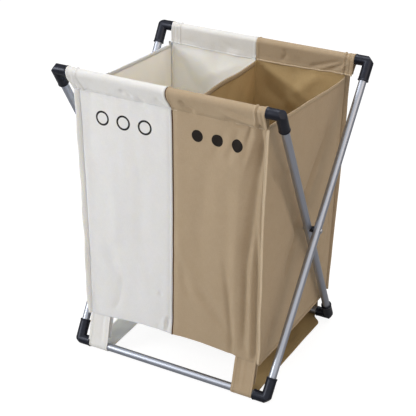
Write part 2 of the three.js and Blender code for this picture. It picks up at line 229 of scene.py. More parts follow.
def sewing_thread(name, tone):
    material, start = new_finish(name)
    strand = start.place().cloudy(2200, 2.0)
    colour = strand.mix(tuple(0.72 * part for part in tone[:3]) + (1,), tone)
    surface(start, {"Base Color": colour, "Roughness": 0.62, "Sheen Weight": 0.15}, strand, 0.0001)
    return material


def drawn_aluminium(name):
    """Satin tube: fine streaks run along it, and a few faint rubs cross it."""
    material, start = new_finish(name)
    drawn = start.node("ShaderNodeAttribute", {"attribute_name": "drawn"}, output=1)
    streak = drawn.stretched(9, 9, 3).cloudy(1.0, 4.0, 0.7)
    fine = drawn.stretched(26, 26, 2).cloudy(1.0, 3.0, 0.75)
    rub = drawn.stretched(2.2, 2.2, 26).cloudy(1.0, 5.0, 0.65).between(0.56, 0.8)
    tone = (streak * 0.6 + fine * 0.4).between(0.25, 0.75)
    colour = tone.mix(paint(165, 170, 181), paint(181, 186, 197))
    colour = (rub * 0.35).mix(colour, paint(196, 199, 205))
    surface(start, {"Base Color": colour, "Metallic": 0.90, "Roughness": streak * 0.06 + rub * 0.05 + 0.34})
    return material


def moulded_plastic(name):
    material, start = new_finish(name)
    place = start.place()
    grain = place.cloudy(3400, 3.0, 0.6)
    flow = place.cloudy(70, 4.0, 0.6)
    scuff = place.stretched(1, 1, 3).cloudy(230, 5.0, 0.7).between(0.62, 0.8)
    colour = flow.between(0.3, 0.7).mix(paint(10, 11, 18), paint(17, 19, 30))
    colour = (scuff * 0.4).mix(colour, paint(56, 58, 66))
    surface(start, {"Base Color": colour, "Roughness": flow * 0.10 + scuff * 0.16 + 0.28,
                    "Specular IOR Level": 0.40, "Specular Tint": (0.80, 0.85, 1.0, 1)},
            grain * 0.8 + flow * 0.3, 0.00005, 0.5)
    return material


def turned_steel(name):
    material, start = new_finish(name)
    place = start.place()
    stroke = place.stretched(4, 1, 1).cloudy(900, 3.0, 0.7)
    mark = place.cloudy(420, 4.0).between(0.5, 0.8)
    colour = stroke.mix(paint(168, 170, 175), paint(205, 206, 210))
    surface(start, {"Base Color": colour, "Metallic": 0.95, "Roughness": stroke * 0.16 + mark * 0.14 + 0.2},
            stroke, 0.00003, 0.5)
    return material


# the printed marks: where they are, their radius and the stroke of the open ones
rings = [(x, 0.5175, 0.0150, 0.0040) for x in (-0.147, -0.100, -0.053)]
discs = [(x, 0.5250, 0.0118, 0) for x in (0.059, 0.101, 0.143)]
finishes = {
    "cream": {
        "front": woven_cloth("cream canvas", (232, 232, 232), (223, 223, 222), 0.6, rings),
        # painted light: the inside finishes are paler and warmer than the cloth's outside, standing in for
        # light that comes through the cloth and bounces round inside the bins
        "inside": woven_cloth("cream canvas inside with painted light", (254, 252, 245), (252, 249, 238), 0.95),
        "plain": woven_cloth("plain cream canvas", (231, 230, 228), (222, 221, 218)),
        # painted light: the cream strap is paler and warmer than the plain cloth, standing in for light that
        # barely reaches it in the shade under the bag
        "strap": woven_cloth("cream strap canvas with painted light", (255, 249, 234), (254, 246, 229), 1.0),
        # painted highlight: the folded edges are paler than their cloth, standing in for the light that their
        # rounded edges catch
        "edge": woven_cloth("cream folded edge with painted highlight", (240, 240, 238), (231, 230, 228), 0.6),
        "thread": sewing_thread("cream thread", paint(236, 233, 226))},
    "tan": {
        "front": woven_cloth("tan canvas", (181, 162, 137), (170, 151, 125), 0.2, discs),
        # painted light: paler and yellower than the outside, standing in for light bounced round inside the
        # bin
        "inside": woven_cloth("tan canvas inside with painted light", (198, 174, 131), (183, 159, 117), 0.1),
        "plain": woven_cloth("plain tan canvas", (181, 162, 137), (170, 151, 125), 0.2),
        "strap": woven_cloth("tan strap canvas", (171, 148, 107), (159, 137, 98), 0.1),
        # painted highlight: paler than the tan cloth, for the light its folded edges catch
        "edge": woven_cloth("tan folded edge with painted highlight", (202, 184, 158), (190, 172, 146), 0.2),
        "thread": sewing_thread("tan thread", paint(176, 155, 124))},
}
# partly painted shadow: the dark brown stands for the divider's raw edge and for the shade in the narrow seam
# between the colours
brown_edge_and_seam_shadow = woven_cloth("brown cut edge and painted seam shadow", (98, 72, 52), (78, 57, 41))
aluminium = drawn_aluminium("satin aluminium")
plastic = moulded_plastic("black moulded plastic")
steel = turned_steel("rivet steel")

# each bin's side of the hamper, its word in the frame's names, and its tone
BINS = ((-1, "light", "cream"), (1, "dark", "tan"))


# ---------------------------------------------------------------- making pieces

def show(name, mesh):
    mesh.name = name
    piece = bpy.data.objects.new(name, mesh)
    bpy.context.scene.collection.objects.link(piece)
    return piece


def belongs(piece, body, nodes=(), fold=None):
    """Puts a piece on its body and hides the frame's nodes that it replaces; a piece that folds gets a mesh
    of its own.
    """
    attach(piece, body)
    if nodes:
        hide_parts(*nodes)
    if fold:
        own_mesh(piece)


def unit(vectors):
    return vectors / np.maximum(np.linalg.norm(vectors, axis=-1, keepdims=True), 1e-12)


def walk(path):
    """How far along a path each of its points lies."""
    return np.concatenate([[0], np.cumsum(np.linalg.norm(np.diff(path, axis=0), axis=1))])


def points_along(places, known, path):
    """Points of a path at the places asked for, from the places known."""
    return np.stack([np.interp(places, known, line) for line in path.T], -1)


def stacked(*parts):
    """Points or flat places from their parts, each a number, a row, a column or a grid."""
    return np.stack(np.broadcast_arrays(*parts), -1)


class Sewn:
    """Closed sheets and bands of cloth that end up in one mesh, with their flat coordinates."""

    def __init__(self):
        self.points, self.flat, self.faces, self.finish, self.sharp = [], [], [], [], []
        self.count = 0

    def add(self, points, flat, quads, finish, caps=(), sharp=()):
        """Adds a closed shell and turns its faces outwards, by the sign of its volume."""
        faces = quads.tolist() + [cap.tolist() for cap in caps]
        thirds = np.concatenate([quads[:, [0, 1, 2]], quads[:, [0, 2, 3]]] + [
            np.stack([np.full(len(cap) - 2, cap[0]), cap[1:-1], cap[2:]], -1) for cap in caps])
        first, second, third = (points[thirds[:, k]] for k in range(3))
        if (first * np.cross(second, third)).sum() < 0:
            faces = [face[::-1] for face in faces]
        self.points.append(points)
        self.flat.append(flat)
        self.faces += [tuple(i + self.count for i in face) for face in faces]
        self.finish += finish
        self.sharp += [(a + self.count, b + self.count) for a, b in sharp]
        self.count += len(points)

    def sheet(self, grid, flat, outward, thickness=CLOTH, inner_finish=0):
        """A grid of points with a thickness behind it. outward is a rough direction of its face."""
        rows, columns = grid.shape[:2]
        behind = rows * columns
        normal = unit(np.cross(np.gradient(grid, axis=1), np.gradient(grid, axis=0)))
        if (normal * outward).sum() < 0:
            normal = -normal
        number = np.arange(behind).reshape(rows, columns)
        front = stacked(number[:-1, :-1], number[:-1, 1:], number[1:, 1:], number[1:, :-1]).reshape(-1, 4)
        back = front[:, ::-1] + behind
        border = np.concatenate([number[0, :], number[1:, -1], number[-1, -2::-1], number[-2:0:-1, 0]])
        after = np.roll(border, -1)
        rim = stacked(after, border, border + behind, after + behind)
        points = np.concatenate([grid.reshape(-1, 3), (grid - normal * thickness).reshape(-1, 3)])
        sharp = list(zip(border.tolist(), after.tolist()))
        sharp += [(p + behind, q + behind) for p, q in sharp]
        self.add(points, np.tile(flat.reshape(-1, 2), (2, 1)), np.concatenate([front, back, rim]),
                 [0] * len(front) + [inner_finish] * len(back) + [0] * len(rim), sharp=sharp)
        return normal

    def band(self, path, tall, thick, height, thickness, finish=0, flat_height=0.02):
        """A folded edge of cloth: a rounded strip that follows a path, standing along tall."""
        count = len(path)
        tall, thick = (unit(np.broadcast_to(way, path.shape)) for way in (tall, thick))
        height = np.broadcast_to(height, count)[:, None]
        half = thickness / 2
        outline = [(0, -1), (0.35, -1.02), (0.72, -1), (0.93, -0.72), (1, 0), (0.93, 0.72), (0.72, 1),
                   (0.35, 1.02), (0, 1)]
        points = np.stack([path + tall * height * up + thick * half * aside for up, aside in outline], 1)
        flat = stacked(walk(path)[:, None], flat_height + walk(points[0])[None, :])
        number = np.arange(count * len(outline)).reshape(count, -1)
        turned = np.roll(number, -1, axis=1)
        quads = stacked(number[:-1], turned[:-1], turned[1:], number[1:]).reshape(-1, 4)
        self.add(points.reshape(-1, 3), flat.reshape(-1, 2), quads, [finish] * (len(quads) + 2),
                 caps=(number[0, ::-1], number[-1]))

    def finished(self, name, materials):
        mesh = bpy.data.meshes.new(name)
        points = np.concatenate(self.points)
        mesh.from_pydata(points.tolist(), [], self.faces)
        for material in materials:
            mesh.materials.append(material)
        mesh.polygons.foreach_set("material_index", np.array(self.finish, np.int32))
        corner = np.zeros(len(mesh.loops), np.int32)
        mesh.loops.foreach_get("vertex_index", corner)
        layer = mesh.uv_layers.new(name="cloth")
        layer.data.foreach_set("uv", np.concatenate(self.flat)[corner].astype(np.float32).ravel())
        mesh.shade_smooth()
        edge = np.zeros(len(mesh.edges) * 2, np.int32)
        mesh.edges.foreach_get("vertices", edge)
        key, wanted = (np.sort(ends.astype(np.int64), axis=1) @ (len(points), 1)
                       for ends in (edge.reshape(-1, 2), np.array(self.sharp)))
        marked = mesh.attributes.new("sharp_edge", "BOOLEAN", "EDGE")
        marked.data.foreach_set("value", np.isin(key, wanted))
        mesh.update()
        return show(name, mesh)


# ---------------------------------------------------------------- rules in geometry nodes

class Rule:
    """A geometry nodes tree with named sizes, which turns lines into finished pieces."""

    def __init__(self, name, **sizes):
        self.tree = bpy.data.node_groups.new(name, "GeometryNodeTree")
        face = self.tree.interface
        face.new_socket("Lines", in_out="INPUT", socket_type="NodeSocketGeometry")
        sizes["Finish"] = "Material"
        self.named = {
            label: face.new_socket(label, in_out="INPUT", socket_type="NodeSocket" + kind).identifier
            for label, kind in sizes.items()}
        face.new_socket("Piece", in_out="OUTPUT", socket_type="NodeSocketGeometry")
        self.given = self.tree.nodes.new("NodeGroupInput").outputs

    def node(self, kind, settings=None, inputs=None, output=0):
        return add_node(self.tree, kind, settings, inputs).outputs[output]

    def even_line(self, spacing):
        """The given lines as curves, with points an even distance apart."""
        line = self.node("GeometryNodeMeshToCurve", {}, {0: self.given["Lines"]})
        return self.node("GeometryNodeResampleCurve", {"mode": "LENGTH"}, {"Curve": line, "Length": spacing})

    def keep(self, geometry, kind, value):
        """Takes a value down with the geometry. Gives the geometry and the kept value."""
        made = self.tree.nodes.new("GeometryNodeCaptureAttribute")
        made.capture_items.new(kind, "kept")
        self.tree.links.new(geometry, made.inputs[0])
        self.tree.links.new(value, made.inputs[1])
        return made.outputs[0], made.outputs[1]

    def finish(self, geometry):
        geometry = self.node("GeometryNodeRealizeInstances", {}, {0: geometry})
        geometry = self.node("GeometryNodeSetMaterial", {}, {
            "Geometry": geometry, "Material": self.given["Finish"]})
        add_node(self.tree, "NodeGroupOutput", {}, {0: geometry})

    def make(self, name, lines, **sizes):
        """lines is a list of (points, the way the surface under them faces)."""
        points, edges, normals = [], [], []
        for path, up in lines:
            edges += [(len(points) + k, len(points) + k + 1) for k in range(len(path) - 1)]
            points += [tuple(point) for point in path]
            normals.append(np.broadcast_to(up, (len(path), 3)))
        mesh = bpy.data.meshes.new(name + "_lines")
        mesh.from_pydata(points, edges, [])
        mesh.attributes.new("upright", "FLOAT_VECTOR", "POINT").data.foreach_set(
            "vector", np.concatenate(normals).astype(np.float32).ravel())
        carrier = show(name + "_lines", mesh)
        modifier = carrier.modifiers.new("rule", "NODES")
        modifier.node_group = self.tree
        for label, value in sizes.items():
            modifier[self.named[label]] = value
        graph = bpy.context.evaluated_depsgraph_get()
        made = bpy.data.meshes.new_from_object(
            carrier.evaluated_get(graph), preserve_all_data_layers=True, depsgraph=graph)
        bpy.data.objects.remove(carrier)
        return show(name, made)


def rod_rule():
    """A round rod along each line, with its place round and along it kept for the streaks."""
    rule = Rule("round rod along a line", Radius="Float", Sides="Int", Spacing="Float")
    line, along_it = rule.keep(rule.even_line(rule.given["Spacing"]), "FLOAT",
                               rule.node("GeometryNodeSplineParameter", output=1))
    ring = rule.node("GeometryNodeCurvePrimitiveCircle", {}, {
        "Resolution": rule.given["Sides"], "Radius": rule.given["Radius"]})
    ring, place = rule.keep(ring, "VECTOR", rule.node("GeometryNodeInputPosition"))
    rod = rule.node("GeometryNodeCurveToMesh", {}, {"Curve": line, "Profile Curve": ring, "Fill Caps": True})
    place = rule.node("ShaderNodeVectorMath", {"operation": "SCALE"}, {0: place, "Scale": 1 / TUBE_RADIUS})
    split = rule.node("ShaderNodeSeparateXYZ", {}, {0: place})
    drawn = rule.node("ShaderNodeCombineXYZ", {}, {0: split, 1: split.node.outputs[1], 2: along_it})
    rule.finish(rule.node("GeometryNodeStoreNamedAttribute", {"data_type": "FLOAT_VECTOR"}, {
        "Geometry": rod, "Name": "drawn", "Value": drawn}))
    return rule


def stitch_rule():
    """A row of lock stitches: short rounded threads a pitch apart, sunk a little at their ends."""
    rule = Rule("row of stitches", Pitch="Float", Stitch="Float", Thread="Float")
    thread = rule.given["Thread"]
    size = rule.node("ShaderNodeCombineXYZ", {}, {0: rule.given["Stitch"], 1: thread, 2: thread})
    upright = rule.node("GeometryNodeInputNamedAttribute", {"data_type": "FLOAT_VECTOR"}, {"Name": "upright"})
    turn = rule.node("FunctionNodeAlignRotationToVector", {"axis": "X"}, {
        "Vector": rule.node("GeometryNodeInputTangent")})
    turn = rule.node("FunctionNodeAlignRotationToVector", {"axis": "Z", "pivot_axis": "X"}, {
        "Rotation": turn, "Vector": upright})
    bead = rule.node("GeometryNodeMeshUVSphere", {}, {"Segments": 6, "Rings": 5, "Radius": 0.5})
    row = rule.node("GeometryNodeInstanceOnPoints", {}, {
        "Points": rule.even_line(rule.given["Pitch"]), "Instance": bead, "Rotation": turn, "Scale": size})
    row = rule.node("GeometryNodeRealizeInstances", {}, {0: row})
    rule.finish(rule.node("GeometryNodeSetShadeSmooth", {}, {"Geometry": row}))
    return rule


rod_along = rod_rule()
stitch_row = stitch_rule()


# ---------------------------------------------------------------- the tube frames

def skin(shell, rings):
    """Faces from each ring of points to the next one. A ring of one point closes an end."""
    rings = [[shell.verts.new(point) for point in ring] for ring in rings]
    sides = max(len(ring) for ring in rings)
    for near, far in zip(rings, rings[1:]):
        for k in range(sides):
            after = (k + 1) % sides
            corners = [near[k % len(near)], near[after % len(near)], far[after % len(far)], far[k % len(far)]]
            shell.faces.new(list(dict.fromkeys(corners)))
    return rings


def tube_line(start, end):
    inset = (end - start).normalized() * TUBE_END
    return [start + inset, end - inset], UP


def elbow(made, corner, bar, leg, on_floor):
    """Rings from the mouth on the leg round the mitre to the mouth on the bar, cut flat at the corner."""
    turns = [2 * math.pi * k / ELBOW_SIDES for k in range(ELBOW_SIDES)]
    outward = -(bar + leg).normalized()
    sideways = bar.cross(leg).normalized()
    mitre_reach = ELBOW_RADIUS / math.sin(bar.angle(leg) / 2)
    mitre = [outward * (math.cos(turn) * mitre_reach) + sideways * (math.sin(turn) * ELBOW_RADIUS)
             for turn in turns]

    def arm_ring(direction, distance, radius):
        across = (outward - direction * outward.dot(direction)).normalized()
        return [(across * math.cos(turn) + sideways * math.sin(turn)) * radius + direction * distance
                for turn in turns]

    def off_axis(edge, axis):
        return min((vert.co - axis * vert.co.dot(axis)).length for vert in edge.verts)

    lip = ELBOW_RADIUS + ELBOW_LIP
    mouth = [(-0.009, ELBOW_BORE), (-0.0006, ELBOW_BORE), (0, ELBOW_BORE + 0.0006), (0, lip - 0.0006),
             (-0.0005, lip - 0.0001), (-0.0014, lip), (-0.0023, lip - 0.0003),
             (-0.0034, ELBOW_RADIUS + 0.0001), (-0.0055, ELBOW_RADIUS)]
    rings = [arm_ring(leg, ELBOW_LEG_ARM + back, radius) for back, radius in mouth]
    rings += [arm_ring(leg, ELBOW_ARM_START, ELBOW_RADIUS), mitre,
              arm_ring(bar, ELBOW_ARM_START, ELBOW_RADIUS)]
    rings += [arm_ring(bar, ELBOW_BAR_ARM + back, radius) for back, radius in reversed(mouth)]
    shell = bmesh.new()
    rings = skin(shell, rings)
    shell.faces.new(rings[0][::-1])
    shell.faces.new(rings[-1])
    cuts = [(outward * ELBOW_CORNER_CUT, outward)]
    if on_floor:
        cuts.append((Vector((0, 0, -FOOT_HEIGHT)), Vector((0, 0, -1))))
    for place, direction in cuts:
        cut = bmesh.ops.bisect_plane(shell, geom=shell.verts[:] + shell.edges[:] + shell.faces[:],
                                     plane_co=place, plane_no=direction, clear_outer=True)
        edges = [part for part in cut["geom_cut"] if isinstance(part, bmesh.types.BMEdge)]
        bmesh.ops.holes_fill(shell, edges=edges, sides=0)
    bmesh.ops.recalc_face_normals(shell, faces=shell.faces[:])
    crisp = [edge for edge in shell.edges if edge.is_manifold and edge.calc_face_angle() > math.radians(24)
             and max(off_axis(edge, leg), off_axis(edge, bar)) > ELBOW_BORE + 0.0003]
    bmesh.ops.bevel(shell, geom=crisp, offset=ELBOW_ROUNDING, segments=3, profile=0.5, affect="EDGES",
                    clamp_overlap=True)
    shell.transform(Matrix.Translation(corner))
    kept = bpy.data.meshes.new("elbow")
    shell.to_mesh(kept)
    shell.free()
    made.from_mesh(kept)
    bpy.data.meshes.remove(kept)


def shown_solid(name, made, material, crisp):
    """A finished piece from a bmesh, smooth except at edges of more than crisp degrees."""
    mesh = bpy.data.meshes.new(name)
    made.to_mesh(mesh)
    made.free()
    mesh.materials.append(material)
    mesh.shade_smooth()
    mesh.set_sharp_from_angle(angle=math.radians(crisp))
    return show(name, mesh)


def build_frame(name, turned):
    sign = -1 if turned else 1
    at = {}
    for side, hand in (("left", -1), ("right", 1)):
        for end, half, reach, height in (("top", BAR_HALF, -BAR_REACH, BAR_HEIGHT),
                                         ("foot", FOOT_HALF, FOOT_REACH, FOOT_HEIGHT)):
            at[f"{end}_{side}"] = Vector((sign * (hand * half - FRAME_SHIFT), sign * reach, height))
    lines = [tube_line(at[start], at[end]) for start, end in (
        ("top_left", "top_right"), ("foot_left", "foot_right"),
        ("top_left", "foot_left"), ("top_right", "foot_right"))]
    tubes = rod_along.make(f"{name}_tubes", lines, Radius=TUBE_RADIUS, Sides=TUBE_SIDES,
                           Spacing=0.02, Finish=aluminium)
    tubes.data.shade_smooth()
    tubes.data.set_sharp_from_angle(angle=math.radians(40))
    made = bmesh.new()
    for side, other in (("left", "right"), ("right", "left")):
        top, foot = at[f"top_{side}"], at[f"foot_{side}"]
        bar = (at[f"top_{other}"] - top).normalized()
        down = (foot - top).normalized()
        elbow(made, top, bar, down, False)
        elbow(made, foot, bar, -down, True)
    elbows = shown_solid(f"{name}_elbows", made, plastic, 38)
    for piece, nodes, slot in (
            (tubes, ("top_bar", "bottom_bar", "leg_left", "leg_right"), "aluminium_tube"),
            (elbows, ("elbow_top_left", "elbow_top_right", "elbow_bottom_left", "elbow_bottom_right"),
             "black_plastic")):
        belongs(piece, f"{name}_frame", [f"{name}_{node}" for node in nodes])


def turned_piece(name, material, outlines):
    """Closed round pieces about the pivots' line. Each outline is a list of (x, radius)."""
    turns = [2 * math.pi * k / PIVOT_SIDES for k in range(PIVOT_SIDES)]
    shell = bmesh.new()
    for outline in outlines:
        skin(shell, [[(x, math.cos(turn) * radius, PIVOT_HEIGHT + math.sin(turn) * radius)
                      for turn in (turns if radius else turns[:1])] for x, radius in outline])
    piece = shown_solid(name, shell, material, 35)
    # an outline that comes back to its start is closed there
    shell = bmesh.new()
    shell.from_mesh(piece.data)
    bmesh.ops.remove_doubles(shell, verts=shell.verts[:], dist=1e-6)
    bmesh.ops.recalc_face_normals(shell, faces=shell.faces[:])
    shell.to_mesh(piece.data)
    shell.free()
    return piece


def build_pivots():
    """A domed rivet through both legs on each side, and a round washer between them."""
    inner = PIVOT_HALF - FRAME_SHIFT - TUBE_RADIUS - TUBE_FIT
    outer = PIVOT_HALF + FRAME_SHIFT + TUBE_RADIUS + TUBE_FIT
    dome = [(RIVET_DOME, 0)]
    dome += [(math.sin(t) * RIVET_DOME, math.cos(t) * RIVET_HEAD) for t in np.linspace(QUARTER, 0, 8)[1:]]
    side = [(inner - x - TUBE_FIT, radius) for x, radius in dome]
    side += [(inner + RIVET_SINK, RIVET_HEAD), (inner + RIVET_SINK, RIVET_SHANK),
             (outer - RIVET_SINK, RIVET_SHANK), (outer - RIVET_SINK, RIVET_HEAD)]
    side += [(outer + x + TUBE_FIT, radius) for x, radius in reversed(dome)]
    rivets = turned_piece("side_rivets", steel, [side, [(-x, radius) for x, radius in side]])
    belongs(rivets, "aft_frame", ["pivot_rivet_left", "pivot_rivet_right"])
    start, end = PIVOT_HALF - FRAME_SHIFT + 0.003, PIVOT_HALF + FRAME_SHIFT - TUBE_RADIUS - TUBE_FIT
    disc = [(start, 0.0028), (start, 0.0061), (end - 0.0030, 0.0061), (end - 0.0024, 0.0065),
            (end - 0.0006, 0.0065), (end, 0.0059), (end, 0.0028), (start, 0.0028)]
    for hand, sign, body in (("left", -1, "aft_frame"), ("right", 1, "fore_frame")):
        washer = turned_piece(f"pivot_washer_{hand}", plastic, [[(sign * x, radius) for x, radius in disc]])
        belongs(washer, body, [f"pivot_spacer_{hand}"])


build_frame("fore", False)
build_frame("aft", True)
build_pivots()


# ---------------------------------------------------------------- how the cloth lies

def smooth(value, low, high):
    t = np.clip((value - low) / (high - low), 0, 1)
    return t * t * (3 - 2 * t)


def bump(value, centre, width):
    """1 at the centre, falling away softly to both sides."""
    return np.exp(-((value - centre) / width) ** 2)


def arch(share):
    """0 at both ends and 1 half way."""
    return np.sin(math.pi * share)


def ripple(a, b, seed):
    """Even noise on two coordinates, about -1 to 1."""
    flat_a, flat_b = np.broadcast_arrays(a, b)
    values = [noise.noise(Vector((p, q, seed))) for p, q in zip(flat_a.ravel(), flat_b.ravel())]
    return np.array(values).reshape(flat_a.shape) * 1.6


def crease(a, b, path, width, height, fade=0.25, tail=None):
    """A fold in the cloth along a line, in millimetres: a ridge if height is above 0, else a valley."""
    path = np.array(path, float) / 1000
    steps = np.diff(path, axis=0)
    runs = np.linalg.norm(steps, axis=1)
    done, nearest, place = 0.0, np.inf, 0.0
    for (start_a, start_b), (step_a, step_b), run in zip(path, steps, runs):
        from_a, from_b = a - start_a, b - start_b
        t = np.clip((from_a * step_a + from_b * step_b) / run ** 2, 0, 1)
        away = np.hypot(from_a - t * step_a, from_b - t * step_b)
        place = np.where(away < nearest, (done + t * run) / runs.sum(), place)
        nearest = np.minimum(nearest, away)
        done += run
    ends = smooth(place, 0, fade) * (1 - smooth(place, 1 - (tail or fade), 1))
    return height / 1000 * ends * bump(nearest, 0, width / 1000)


def folds(a, b, creases, much=1.0):
    """All creases of a list together. Each has its line, width, height and, if it differs, how it fades."""
    return sum(crease(a, b, path, width, height * much, *fade) for path, width, height, *fade in creases)


# the height of the cloth's even waves, and how close they lie across and up
WAVES = {"front": ((0.0010, 15, 2.3), (0.00045, 46, 13)), "side": ((0.0022, 9, 2.6), (0.0006, 30, 12)),
         "rear": ((0.0013, 14, 2.4), (0.0005, 40, 14)), "divider": ((0.0034, 10, 3.0), (0.0008, 34, 14))}


def waves(kind, a, b, seed):
    return sum(height * ripple(a * across, b * up, seed + k)
               for k, (height, across, up) in enumerate(WAVES[kind]))


FRONT_CREASES = {"cream": [
    ([(-105, 584), (-88, 582), (-78, 570)], 5, -3.1),
    ([(-70, 577), (-52, 566)], 5, -1.8),
    ([(-30, 583), (-14, 574), (-6, 562)], 6, -2.5),
    ([(-19, 76), (-14, 92), (-12, 112)], 4, 3.1),
    ([(-9, 75), (-7, 95), (-5, 118)], 4, -4.2),
    ([(-31, 76), (-26, 96)], 4.5, -2.5),
    ([(-27, 168), (-16, 164)], 3.5, -2.2),
    ([(-150, 250), (-120, 190), (-70, 130)], 16, -2.0),
    ([(-140, 80), (-120, 120), (-110, 190)], 8, -1.7),
    ([(-184, 555), (-178, 500), (-180, 420)], 12, -1.4),
    ([(-60, 470), (-64, 330), (-60, 200)], 18, -1.8),
    ([(-128, 460), (-124, 330), (-128, 230)], 16, 1.5),
], "tan": [
    ([(187, 560), (188, 522), (185, 491), (182, 451), (176, 390), (169, 305), (168, 250)],
     8.5, -7.4, 0.12, 0.35),
    ([(180, 430), (187, 340), (189.5, 260), (190.5, 172), (191, 66)], 5.2, -7.5, 0.4, 0.05),
    ([(174, 340), (178, 260), (178, 172), (179, 105), (179, 66)], 5.0, 3.4, 0.5, 0.05),
    ([(172, 400), (166, 300), (165, 240), (165, 172), (166, 110), (166, 66)], 6.5, -7.4, 0.5, 0.3),
    ([(145, 427), (144, 300), (143, 172), (148, 105), (152, 66)], 9.5, 3.2, 0.4, 0.08),
    ([(116, 320), (131, 190), (139, 105), (141, 66)], 7.0, -6.2, 0.6, 0.05),
    ([(122, 500), (122, 380), (118, 260)], 22, -2.6, 0.4),
    ([(6, 280), (40, 222), (86, 180), (124, 132), (140, 90)], 11.0, -3.4),
    ([(10, 350), (30, 260), (64, 180), (100, 120)], 13.0, 2.6),
    ([(25, 230), (34, 198), (46, 166)], 6.5, -2.0),
    ([(184, 578), (189, 552), (188, 522), (186, 495), (183, 460)], 4.5, -4.4, 0.08, 0.5),
    ([(175, 575), (176, 548), (169, 517), (161, 486), (154, 445)], 6.0, 3.6, 0.08, 0.6),
    ([(169, 572), (166, 558), (162, 540), (160, 520)], 3.4, -3.6, 0.08, 0.6),
    ([(104, 588), (128, 583), (150, 578), (170, 576), (188, 578)], 4.6, 5.4, 0.35, 0.1),
    ([(112, 572), (140, 569), (184, 568)], 2.8, -4.0, 0.35, 0.1),
    ([(128, 594), (146, 588), (160, 586)], 3.0, -1.8, 0.3),
    ([(147, 560), (136, 528), (122, 482)], 8.0, -3.5),
    ([(120, 556), (104, 520), (92, 480)], 9.0, -2.3),
    ([(26, 594), (34, 580), (56, 570)], 4.6, -4.1),
    ([(70, 470), (66, 360), (74, 260)], 20.0, -2.4),
    ([(104, 480), (106, 400), (110, 300)], 18.0, 2.0),
]}
SIDE_CREASES = {"cream": [
    ([(-160, 520), (-120, 430), (-60, 330), (-20, 240)], 16, -4.8),
    ([(100, 500), (50, 400), (0, 300), (-30, 210)], 15, -4.3),
    ([(-60, 540), (-30, 450), (-20, 380)], 16, 2.4),
    ([(150, 540), (158, 400), (152, 250)], 11, -3.1),
    ([(-110, 80), (-100, 140)], 8, -2.4),
    ([(120, 84), (108, 150)], 9, -2.4),
], "tan": [
    ([(-168, 520), (-140, 478), (-89, 423), (-40, 352), (-2, 294), (28, 236)], 13, -9.1),
    ([(-150, 430), (-90, 350), (-40, 270)], 18, 2.9),
    ([(120, 520), (100, 460), (60, 410), (25, 366), (-12, 274), (-46, 231), (-70, 186)], 11, -8.3),
    ([(150, 480), (110, 380), (70, 300)], 18, 3.1),
    ([(-122, 78), (-112, 108), (-98, 150)], 7, -3.1),
    ([(-146, 76), (-150, 120), (-158, 200)], 7, 2.6),
    ([(-168, 80), (-160, 150), (-160, 260)], 8, -2.6),
    ([(160, 552), (166, 430), (158, 300), (164, 160)], 10, -4.7),
    ([(132, 90), (124, 150), (96, 220)], 10, -3.1),
    ([(40, 78), (30, 130), (0, 180)], 14, -2.3),
]}
REAR_CREASES = [
    ([(12, 560), (41, 543), (66, 528), (104, 512), (140, 480)], 10, -5.0),
    ([(168, 566), (140, 548), (118, 530), (88, 500), (60, 450)], 13, -5.5),
    ([(92, 566), (90, 545), (92, 505), (96, 480)], 13, 4.6),
    ([(10, 530), (36, 500), (70, 480), (100, 440)], 14, 4.6),
    ([(186, 540), (160, 500), (130, 460)], 12, 4.0),
    ([(60, 440), (62, 340), (58, 240), (60, 160)], 15, -4.2),
    ([(170, 80), (166, 130), (150, 220)], 7, -5.7),
    ([(150, 78), (146, 130), (120, 230)], 8, 4.6),
    ([(182, 470), (178, 360), (180, 240)], 9, -5.0),
    ([(20, 80), (40, 160), (90, 240)], 12, -3.4),
]
# inside the rear sleeves; the tan one is gathered to a fan of folds near its end
REAR_SLEEVE_CREASES = {
    "cream": [([(-84, 590), (-60, 580), (-30, 576)], 5, -1.2)],
    "tan": [([(206, 597), (190 + fan, 580), (176 + fan * 1.9, 566)], 4.0, height)
            for fan, height in ((-34, -2.6), (-19, 2.2), (-6, -2.4), (6, 1.8))]
    + [([(66, 600), (70, 585), (60, 570)], 4.0, -2.6)],
}
DIVIDER_CREASES = [
    ([(-150, 540), (-90, 430), (-40, 300)], 16, -3.2),
    ([(150, 540), (110, 420), (90, 260)], 15, 3.0),
    ([(80, 560), (50, 500), (30, 420)], 12, -2.4),
    ([(20, 100), (0, 200), (-40, 300)], 16, 2.4),
]


def fill_out(z):
    """How much of its full belly a wall has at a height."""
    return arch(np.clip((z - HEM_HEIGHT) / (SEAM_HEIGHT - HEM_HEIGHT), 0, 1))


def seam_pull(x, z, seed):
    """The stitching under the bar gathers the cloth a little."""
    return (0.0010 * ripple(x * 62, z * 26, seed) * bump(z, SEAM_HEIGHT, 0.011)
            - 0.0011 * bump(z, SEAM_HEIGHT - 0.001, 0.0036))


def front_relief(hand, tone, x, z):
    """How far the front stands out from its flat line, at a place on it."""
    seed = 3.1 if hand < 0 else 8.4
    lift = waves("front", x, z, seed) + 0.0018 * fill_out(z) * smooth(np.abs(x - JOIN), 0, 0.05)
    lift += 0.0008 * ripple(x * 24 + z * 9, z * 16 - x * 6, seed + 2) * (1 - smooth(z, 0.10, 0.26))
    from_join = np.abs(x - join_line(z))
    lift -= 0.0034 * bump(from_join, 0, 0.0080) * (1 - smooth(z, 0.575, 0.590))
    lift += (0.0011 if hand < 0 else 0.0006) * bump(from_join, 0.0036, 0.0020)
    lift += seam_pull(x, z, seed + 3) + folds(x, z, FRONT_CREASES[tone])
    if hand < 0:
        lift -= 0.0008 * bump(x, -0.178, 0.016)
    else:
        # the cloth bellies out under the sleeve's end and falls back steeply to the corner
        belly = bump(x, 0.146, np.where(x < 0.146, 0.042, 0.019))
        lift += 0.0078 * belly * smooth(z, 0.22, 0.38) * (1 - smooth(z, 0.50, 0.575))
    return lift * (1 - smooth(z, 0.588, BAR_HEIGHT))


